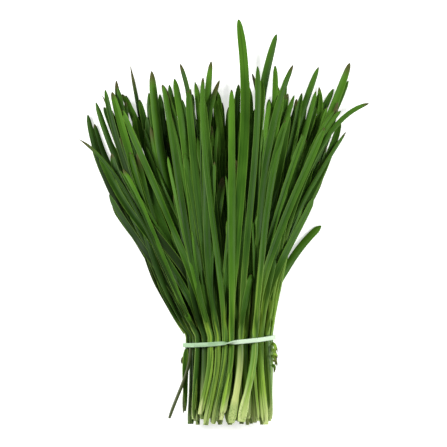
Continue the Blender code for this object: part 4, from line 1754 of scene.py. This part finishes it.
@dataclass
class SheathShape:
    """How a shoot's sheath becomes a tube with a mouth and a layered cut end."""

    line_seed: int = 99
    tube_seed: int = 77
    strip_seed: int = 55
    scale: Pair = (0.9, 1.0)
    # Inside its outer leaf, the tube is this much narrower and thinner.
    wrapped: Pair = (0.86, 0.89)
    slim_length: float = 2.0 * MM
    bare_share: float = 0.3
    # How far from the cut end the outer leaf starts, in mm.
    wrap_start: Pair = (-1.0, 2.5)
    # The strips of old outer layer on one sheath: how many, how far round it their middle is and
    # their edges reach from there, where they start, and how far towards the band they go.
    strips: tuple[int, int] = (1, 3)
    strip_turn: float = math.radians(50)
    strip_span: Pair = (math.radians(12), math.radians(30))
    strip_start: float = 9.0 * MM
    strip_reach: Pair = (0.45, 1.3)
    strip_thick: float = 0.35 * MM
    strip_gap: float = 0.3 * MM
    strip_wave: float = 0.15 * MM
    strip_twist: float = 0.3
    # How much a strip differs in tint and in pale from what its shoot says.
    strip_tint: float = 0.6
    strip_pale: float = 0.7
    # Over what share of a strip its ends narrow, and the square of how narrow they get.
    strip_ends: tuple[Pair, ...] = ((0.08, 0.02), (0.5, 0.01))
    # The y under the band is this times x.
    band_slope: float = 0.09
    # How much a tube's tint varies, and how much darker it is at the left and lighter at the right.
    tint_spread: float = 0.8
    side_tint: float = 0.9
    wander: float = 0.6 * MM
    # From the band to the cut end, where a swollen end starts and is at its full width.
    swell_places: tuple[float, ...] = (0, 0.62, 0.8, 1)
    # How far past its last ring a sheath is cut, in mm.
    cut_off: float = 0.6
    rings: int = 24
    end_round: Pair = (0.62, 0.92)
    # The rounded part of its end: where it starts and how long it is, as shares of the length.
    rounded: Pair = (0.9, 0.1)
    mouth_depth: float = 4.0 * MM
    # The cut face, from its rim inwards: how far back each point is, and its share of the radius.
    cut_layers: tuple[Pair, ...] = (
        (0.12, 1.0), (0.0, 0.95), (0.05, 0.8), (0.7, 0.74), (0.2, 0.68), (0.25, 0.48), (0.9, 0.42),
        (0.45, 0.36), (0.5, 0.03)
    )
    # The mouth: how far inside it each point is, as a share of its depth, and its radius.
    mouth_layers: tuple[Pair, ...] = ((0.0, 0.97), (0.0, 0.9), (0.4, 0.85), (1.0, 0.03))

    def line(self, shoot: Shoot, growth: Growth, band_y: float) -> SheathLine:
        """Works out one sheath's course and outer size.

        Args:
            shoot: the shoot.
            growth: the rule's sizes.
            band_y: where the band crosses it.

        Returns:
            Its rings.
        """
        rng = shoot.chance(growth.seed, self.line_seed)
        drop = growth.lowest_row_z - growth.sheath_thick / 2
        mouth = growth.along_sheath(shoot, shoot.mouth_y)
        straight = growth.straight_y
        reach = (shoot.cut_y + straight) / (growth.cut_end_y + straight)
        cut_x = shoot.x + (shoot.cut_x - shoot.x) * reach
        corner_y = np.array([shoot.cut_y, -straight, straight, shoot.mouth_y])
        y = np.linspace(shoot.cut_y, shoot.mouth_y, self.rings)
        x = smooth_through(corner_y, np.array([cut_x, shoot.x, shoot.x, mouth[0]]), y)
        z = smooth_through(corner_y, shoot.z - np.array([drop, 0, 0, 0]), y)
        loose = np.clip((y + straight) / (shoot.cut_y + straight), 0, 1)
        x += self.wander * rng.uniform(-1, 1) * np.sin(loose * math.pi)
        swell = (1, 1, shoot.swell, shoot.swell)
        size = rng.uniform(*self.scale) * np.interp(loose, self.swell_places, swell)
        rounding = ease((loose - self.rounded[0]) / self.rounded[1])
        size *= mix(1.0, rng.uniform(*self.end_round), rounding)
        centre = np.stack([x, y, z], axis=1)
        bare = shoot.dress is not Dress.FRESH or rng.uniform() < self.bare_share
        heel = (centre[1] - centre[0]) / (y[1] - y[0])
        centre[0] += heel * self.cut_off * MM
        return SheathLine(
            centre=centre, half_width=shoot.width / 2 * size,
            half_thick=shoot.thick / 2 * np.minimum(size, 1.0),
            share=(y - shoot.cut_y) / (shoot.mouth_y - shoot.cut_y), heel=heel,
            lip=(centre[-1] - centre[-2]) / (y[-1] - y[-2]),
            wrapped_from=band_y if bare else shoot.cut_y + rng.uniform(*self.wrap_start) * MM
        )

    def strand(self, shoot: Shoot, growth: Growth, line: SheathLine) -> Strand:
        """Shapes one sheath's tube.

        Args:
            shoot: the shoot.
            growth: the rule's sizes.
            line: its course.

        Returns:
            The tube as a strand, from its cut end to its mouth.
        """
        rng = shoot.chance(growth.seed, self.tube_seed)
        back = np.array(self.cut_layers)[::-1]
        inside = np.array(self.mouth_layers)
        ends = (
            line.centre[0] + line.heel * (back[:, :1] - self.cut_off) * MM,
            line.centre[-1] - line.lip * inside[:, :1] * self.mouth_depth
        )
        centre = np.vstack([ends[0], line.centre, ends[1]])
        count = len(centre)
        under = ease((line.centre[:, 1] - line.wrapped_from + self.slim_length / 2) / self.slim_length)
        halves = []
        for half, slim in zip((line.half_width, line.half_thick), self.wrapped):
            half = half * mix(1.0, slim, under)
            halves.append(np.concatenate([half[0] * back[:, 1], half, half[-1] * inside[:, 1]]))
        along = np.concatenate([np.zeros(len(back)), line.share, np.ones(len(inside))])
        cut = np.concatenate([(back[:, 1] < 0.97) * 1.0, np.zeros(self.rings + len(inside))])
        path = line.centre[-2] - line.centre[2]
        side = np.cross(path, [0, 0, 1])
        cream, dry = shoot.dress.value
        margin = float(rng.uniform(0, 1))
        tint = self.tint_spread * rng.uniform(-1, 1) + self.side_tint * shoot.rightness
        # Painted shade: a tube deep in the bunch is darker.
        tint = float(tint - 2 * BURIED_SHADE * shoot.buried)
        return Strand(
            centre=centre, side=np.broadcast_to(side / np.linalg.norm(side), (count, 3)),
            up=np.broadcast_to([0.0, 0.0, 1.0], (count, 3)), half_width=halves[0], half_thick=halves[1],
            along=along, cut=cut, tube=1.0, margin=margin, tint=tint, pale=float(rng.uniform(0.0, 1.0)),
            cream=cream, dry=dry, key=shoot.key(6)
        )

    def old_layers(self, shoot: Shoot, growth: Growth, line: SheathLine) -> list[Strand]:
        """Shapes the strips that are left of a sheath's old outer layers.

        Args:
            shoot: the shoot.
            growth: the rule's sizes.
            line: its course.

        Returns:
            The strips as strands, from the cut end upwards. A strip that reaches the band ends
            under it.
        """
        rng = shoot.chance(growth.seed, self.strip_seed)
        made = []
        if shoot.dress is not Dress.FRESH:
            return made
        cut_y = shoot.cut_y
        for index in range(rng.integers(*self.strips, endpoint=True)):
            low = cut_y + rng.uniform(-0.05, 1) ** 2 * self.strip_start
            high = min(cut_y + rng.uniform(*self.strip_reach) * abs(cut_y), shoot.x * self.band_slope)
            share = np.linspace(0, 1, self.rings)
            y = mix(low, high, share)
            rings_y = line.centre[:, 1]
            centre = rows_at(y, rings_y, line.centre)
            wide = np.interp(y, rings_y, line.half_width) + self.strip_gap * (index + 1)
            thick = np.interp(y, rings_y, line.half_thick) + self.strip_gap * (index + 1)
            turn = rng.uniform(-1, 1) * self.strip_turn
            turn = turn + rng.uniform(-self.strip_twist, self.strip_twist) * share
            side, up = frames_along(centre, np.zeros(len(centre)))
            centre = centre + side * (wide * np.sin(turn))[:, None]
            centre = centre + up * (thick * np.cos(turn))[:, None]
            side, up = frames_along(centre, -turn)
            span = rng.uniform(*self.strip_span)
            ends = narrowed_ends(share, *self.strip_ends)
            tint = float(rng.uniform(-self.strip_tint, self.strip_tint))
            cream = float(rng.uniform(-1, 1))
            rightness = shoot.x / SIDE_X + rng.uniform(-self.strip_pale, self.strip_pale)
            # Its cream takes a painted shade where its shoot lies deep in the bunch.
            made.append(
                Strand(
                    centre=centre, side=side, up=up, half_width=wide * span * ends,
                    half_thick=np.full(len(centre), self.strip_thick / 2) * ends, half_bend=span * ends,
                    wave=self.strip_wave, along=(y - shoot.mouth_y) / (shoot.mouth_y - cut_y),
                    tint=tint, cream=cream - BURIED_SHADE * shoot.buried,
                    pale=float(np.clip(rightness, -1, 1)), key=shoot.key(6.3 + 0.2 * index)
                )
            )
        return made


@dataclass
class Shoots:
    """All shoots: their sheaths and blades, one piece for each."""

    growth: Growth
    tree: StrandTree
    blade_shape: BladeShape = field(default_factory=BladeShape)
    sheath_shape: SheathShape = field(default_factory=SheathShape)
    young: YoungLeaf = field(default_factory=YoungLeaf)
    band_slant: float = math.tan(math.radians(5))

    def strands(self) -> dict[int, list[Strand]]:
        """Shapes every sheath and blade, and lays the blades on each other.

        Returns:
            Each shoot's strands, by its number.
        """
        lines = {
            shoot.number: self.sheath_shape.line(shoot, self.growth, shoot.x * self.band_slant)
            for shoot in self.growth.shoots
        }
        made = {
            shoot.number: [self.sheath_shape.strand(shoot, self.growth, lines[shoot.number])]
            for shoot in self.growth.shoots
        }
        pile = BladePile(self.growth)
        for older, shoot in self.growth.laid:
            younger = [self.young.leaf(older, shoot, self.growth, order) for order in (0, 1)]
            for leaf in (younger[1], older, younger[0]):
                if leaf is not None:
                    strand = self.blade_shape.strand(leaf, shoot, self.growth, lines[shoot.number])
                    pile.lay(strand, shoot.mouth_y)
                    made[shoot.number].append(strand)
        for shoot in self.growth.shoots:
            line = lines[shoot.number]
            made[shoot.number] += self.sheath_shape.old_layers(shoot, self.growth, line)
        return made

    def finishes(self) -> dict[Slot, tuple[Material, Material]]:
        """Makes the materials of the leaves and sheaths.

        Returns:
            Those of each slot.
        """
        greens = {
            Slot.DEEP: (("15300a", "375c17"), ("b4c57a", "5d832d", "3f6020"), "1f3a0d"),
            Slot.MID: (("1a3a09", "41691b"), ("c4d388", "6f9935", "4c7224"), "26460f"),
            Slot.BRIGHT: (("224509", "4b771c"), ("d4dd98", "88b040", "5a8528"), "305412")
        }
        made = {}
        for slot, (blade, sheath, streak) in greens.items():
            shade = slot.name.lower()
            made[slot] = (
                LeafFinish(f"chive leaf, {shade} green, waxy", *blade, *sheath, streak).material(),
                SheathFinish(f"chive sheath, {shade} green", *sheath, streak).material()
            )
        return made

    def build(self, finishes: dict[Slot, tuple[Material, Material]]) -> list[Object]:
        """Builds and dresses one piece for each shoot.

        Args:
            finishes: the leaf and sheath materials of each slot.

        Returns:
            The pieces.
        """
        cut = CutFinish().material()
        strands = self.strands()
        slots = (Slot.DEEP, Slot.MID, Slot.BRIGHT)
        pieces = []
        for shoot in self.growth.shoots:
            slot = slots[shoot.number % 3]
            piece = self.tree.skin(
                f"chive_shoot_{shoot.number:02d}", strands[shoot.number], (*finishes[slot], cut),
                Seed=float(self.growth.seed)
            )
            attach(piece, BODY)
            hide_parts(f"shoot_{shoot.number:02d}")
            pieces.append(piece)
        return pieces


# ---------------------------------------------------------------- band


@dataclass
class ElasticBand:
    """The flat rubber band round the sheaths, with a half turn on top and one below."""

    growth: Growth
    tree: StrandTree
    width: float = 3.2 * MM
    thick: float = 1.1 * MM
    gap: float = 0.5 * MM
    solid_thick: float = 1.2 * MM
    slant: float = math.radians(5)
    bow: float = 0.6 * MM
    steps: int = 288
    # A sheath's outline that the band lies on, in halves of its width and thickness, and how many
    # points round off each of its corners.
    profile: tuple[Pair, ...] = ((-1, 0), (-0.62, 1), (0.62, 1), (1, 0), (0.62, -1), (-0.62, -1))
    corner_steps: int = 24
    # The half turns: x and z of the middle and the length of each, in mm.
    twists: tuple[tuple[float, float, float], ...] = ((-1.0, 34.0, 20.0), (-31.0, 8.0, 15.0))

    def outline(self) -> tuple[np.ndarray, np.ndarray]:
        """Works out the closed line round the sheaths that the band follows, from below.

        Returns:
            (n, 2) evenly spaced points of it, as x and z, and how far along it they are.
        """
        angles = np.linspace(0, 2 * math.pi, self.corner_steps, endpoint=False)
        points = []
        for shoot in self.growth.shoots:
            for across, up in self.profile:
                corner = (shoot.x + across * shoot.width / 2, shoot.z + up * shoot.thick / 2)
                for angle in angles:
                    out = np.array([math.cos(angle), math.sin(angle)])
                    points.append(corner + out * (self.gap + self.solid_thick / 2))
        hull = np.array([points[i] for i in convex_hull_2d([tuple(p) for p in points])])
        lowest = np.argmin(hull[:, 1] + abs(hull[:, 0]) * 0.01)
        hull = np.roll(hull, -lowest, axis=0)
        ring = np.vstack([hull, hull[:1]])
        length = run_along(ring)
        places = np.linspace(0, length[-1], self.steps, endpoint=False)
        return rows_at(places, length, ring), places

    def strand(self) -> Strand:
        """Shapes the band.

        Returns:
            The band as a closed strand.
        """
        outline, places = self.outline()
        along = np.roll(outline, -3, axis=0) - np.roll(outline, 3, axis=0)
        along /= np.linalg.norm(along, axis=1)[:, None]
        outwards = np.stack([along[:, 1], -along[:, 0]], axis=1)
        if ((outline - outline.mean(axis=0)) * outwards).sum() < 0:
            outwards = -outwards
        turns = np.zeros(len(outline))
        for x, z, length in self.twists:
            middle = np.argmin(np.linalg.norm(outline - np.array([x, z]) * MM, axis=1))
            turns += math.pi * ease((places - places[middle]) / (length * MM) + 0.5)
        half = self.width / 2
        thin = self.thick / 2
        side_x = self.growth.half_bunch
        y = outline[:, 0] * math.tan(self.slant) + self.bow * ((outline[:, 0] / side_x) ** 2 - 0.5)
        reach = abs(half * np.sin(turns)) + abs(thin * np.cos(turns)) - thin
        out = np.stack([outwards[:, 0], np.zeros(len(y)), outwards[:, 1]], axis=1)
        across = np.broadcast_to([0.0, 1.0, 0.0], out.shape)
        sine, cosine = np.sin(turns)[:, None], np.cos(turns)[:, None]
        return Strand(
            centre=np.stack([outline[:, 0], y, outline[:, 1]], axis=1) + out * reach[:, None],
            side=cosine * across + sine * out, up=-sine * across + cosine * out,
            half_width=np.full(len(y), half), half_thick=np.full(len(y), thin), closed=True
        )

    def build(self) -> Object:
        """Builds and dresses the band.

        Returns:
            The piece.
        """
        rubber = BandFinish().material()
        piece = self.tree.skin(
            "mint_elastic_band", [self.strand()], (rubber,) * 3, Blade_points=20, Squareness=0.45
        )
        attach(piece, BODY)
        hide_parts("elastic_band")
        return piece


# ---------------------------------------------------------------- scraps


@dataclass(frozen=True)
class Scrap:
    """One torn strip: where its middle line goes, in mm, its width in mm and how far it curls."""

    line: tuple[tuple[float, float, float], ...]
    width: float
    curl: float
    tint: float
    dry: float


@dataclass
class TornScraps:
    """The torn, curled strips of old outer leaves that stick out at both sides of the sheaths."""

    tree: StrandTree
    rings: int = 24
    thick: float = 0.35 * MM
    wave: float = 0.5 * MM
    # Over what share of a scrap its ends narrow, and the square of how narrow they get.
    ends: tuple[Pair, ...] = ((0.15, 0.05), (0.3, 0.02))
    scraps: tuple[Scrap, ...] = (
        Scrap(((31.0, -0.5, 20.0), (33.6, -3.0, 23.0), (34.0, -7.5, 22.0)), 2.6, 40, 0.9, 0.1),
        Scrap(((32.4, -1.5, 17.0), (34.6, -4.5, 19.0), (35.4, -7.5, 20.0)), 1.6, 90, 0.3, 0.5),
        Scrap(((31.5, -4.5, 22.0), (33.8, -8.5, 24.0), (34.6, -13.0, 21.0)), 2.4, -60, -0.3, 0.3),
        Scrap(((32.0, -8.0, 24.0), (34.8, -9.5, 25.0), (35.4, -11.5, 23.0)), 1.5, 60, 0.9, 0.1),
        Scrap(((31.6, -9.0, 16.0), (34.0, -13.5, 19.0), (33.2, -18.0, 21.0)), 2.4, 70, 0.5, 0.4),
        Scrap(((31.4, -13.0, 24.0), (34.4, -14.5, 24.0), (35.0, -17.5, 22.0)), 1.7, -50, 0.1, 0.6),
        Scrap(((31.2, -16.5, 20.0), (33.2, -18.5, 23.0), (32.8, -22.5, 21.0)), 2.4, -60, -0.8, 0.2),
        Scrap(((-31.5, -10.5, 17.0), (-33.8, -12.5, 19.0), (-34.6, -16.0, 18.0)), 2.6, 30, -1.0, 0.7),
        Scrap(((-31.2, -3.6, 20.0), (-32.3, -22.0, 18.0), (-31.4, -48.0, 15.0)), 4.0, 20, -0.6, 0.0),
        Scrap(((-31.6, -24.0, 13.0), (-32.8, -40.0, 12.0), (-33.4, -52.5, 9.0)), 2.6, 20, -0.4, 0.1)
    )

    def strand(self, scrap: Scrap, number: int) -> Strand:
        """Shapes one scrap.

        Args:
            scrap: its line, width and curl.
            number: its place in the list.

        Returns:
            The scrap as a strand, with its torn end last.
        """
        share = np.linspace(0, 1, self.rings)
        line = np.array(scrap.line) * MM
        stations = np.linspace(0, 1, len(line))
        centre = np.stack([smooth_through(stations, line[:, k], share) for k in range(3)], axis=1)
        side, up = frames_along(centre, np.radians(scrap.curl) * ease(share))
        length = np.linalg.norm(np.diff(centre, axis=0), axis=1).sum()
        ends = narrowed_ends(share, *self.ends)
        return Strand(
            centre=centre, side=side, up=up, half_width=scrap.width * MM / 2 * ends,
            half_thick=np.full(self.rings, self.thick / 2),
            half_bend=np.radians(scrap.curl) * share / 2, wave=self.wave, along=mix(-0.2, -0.75, share),
            tip_gap=(1 - share) * length, tint=scrap.tint, cream=scrap.tint,
            pale=float(np.sign(line[0, 0]) * 0.6), dry=scrap.dry, key=float(900 + number)
        )

    def build(self, finish: Material) -> Object:
        """Builds and dresses the scraps.

        Args:
            finish: what the scraps are made of.

        Returns:
            The piece.
        """
        strands = [self.strand(scrap, number) for number, scrap in enumerate(self.scraps)]
        piece = self.tree.skin(
            "torn_leaf_scraps", strands, (finish,) * 3, Blade_points=12, Wave_length=4 * MM, Seed=3.0
        )
        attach(piece, BODY)
        return piece


# ---------------------------------------------------------------- studio


@dataclass(frozen=True)
class TableFinish(Finish):
    """Opal acrylic, lit from below: it keeps the shadows on the table faint."""

    name: str = "opal acrylic light table"
    colour: str = "f4f4f2"
    roughness: float = 0.9
    glow: float = 0.55

    def paint(self, new: NewNode) -> dict:
        """Paints the table top.

        Args:
            new: adds a node to the material; not used.

        Returns:
            What goes into the shader's inputs.
        """
        return {
            "Base Color": linear(self.colour), "Roughness": self.roughness, "Emission Color": WHITE,
            "Emission Strength": self.glow
        }


@dataclass
class Studio:
    """A plain pale floor, soft light and a camera that looks straight down."""

    floor_half: float = 12.0
    view_share: float = 1.104
    camera_shift: float = -1.3 * MM
    lens: float = 300.0
    sensor: float = 36.0
    lamps: tuple[tuple[str, tuple[float, float, float], float, float], ...] = (
        ("left softbox", (-0.9, 0.3, 0.62), 14.5, 0.42), ("right softbox", (0.9, 0.1, 0.62), 10.5, 0.42)
    )
    sky: float = 0.25

    def build(self, low: Vector, high: Vector) -> None:
        """Builds the floor, the lights and the camera.

        Args:
            low: the object's lowest corner.
            high: its highest corner.
        """
        scene = bpy.context.scene
        half = self.floor_half
        mesh = bpy.data.meshes.new("floor")
        corners = [(-half, -half), (half, -half), (half, half), (-half, half)]
        mesh.from_pydata([(x, y, low.z) for x, y in corners], [], [(0, 1, 2, 3)])
        floor = bpy.data.objects.new("floor", mesh)
        scene.collection.objects.link(floor)
        mesh.materials.append(TableFinish().material())
        floor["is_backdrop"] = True
        world = bpy.data.worlds.new("studio")
        world.use_nodes = True
        tree = world.node_tree
        fit(tree, tree.nodes["Background"], {"Color": WHITE, "Strength": self.sky})
        scene.world = world
        middle = (low + high) / 2
        for name, offset, power, size in self.lamps:
            self.lamp(name, middle, Vector(offset), power, size)
        width = (high.y - low.y) * self.view_share
        data = bpy.data.cameras.new("camera")
        data.lens = self.lens
        data.sensor_width = self.sensor
        camera = bpy.data.objects.new("camera", data)
        camera.location = (middle.x, middle.y + self.camera_shift, width * self.lens / self.sensor)
        scene.collection.objects.link(camera)
        scene.camera = camera
        scene.view_settings.view_transform = "Standard"

    def lamp(self, name: str, aim: Vector, offset: Vector, power: float, size: float) -> None:
        """Adds a square soft lamp.

        Args:
            name: its name.
            aim: the point that it shines at.
            offset: where it hangs, from there.
            power: in watts.
            size: its side, in metres.
        """
        data = bpy.data.lights.new(name, "AREA")
        data.energy = power
        data.size = size
        lamp = bpy.data.objects.new(name, data)
        lamp.location = aim + offset
        lamp.rotation_euler = offset.to_track_quat("Z", "Y").to_euler()
        bpy.context.scene.collection.objects.link(lamp)


def main() -> None:
    """Builds every piece in order, and reports each."""
    logging.basicConfig(level=logging.INFO, format="%(message)s")
    start = [list(corner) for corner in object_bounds()]
    growth = Growth()
    growth.grow()
    LOG.info("growth: %d shoots, %d leaves", len(growth.shoots), len(growth.laid))
    tree = StrandTree("grow strands")
    shoots = Shoots(growth, tree)
    finishes = shoots.finishes()
    pieces = shoots.build(finishes)
    pieces.append(TornScraps(tree).build(finishes[Slot.BRIGHT][0]))
    pieces.append(ElasticBand(growth, tree).build())
    for piece in pieces:
        LOG.info("%s: %d faces", piece.name, len(piece.data.polygons))
    low, high = (Vector(corner) for corner in start)
    Studio().build(low, high)
    bpy.context.view_layer.update()


if __name__ == "__main__":
    main()
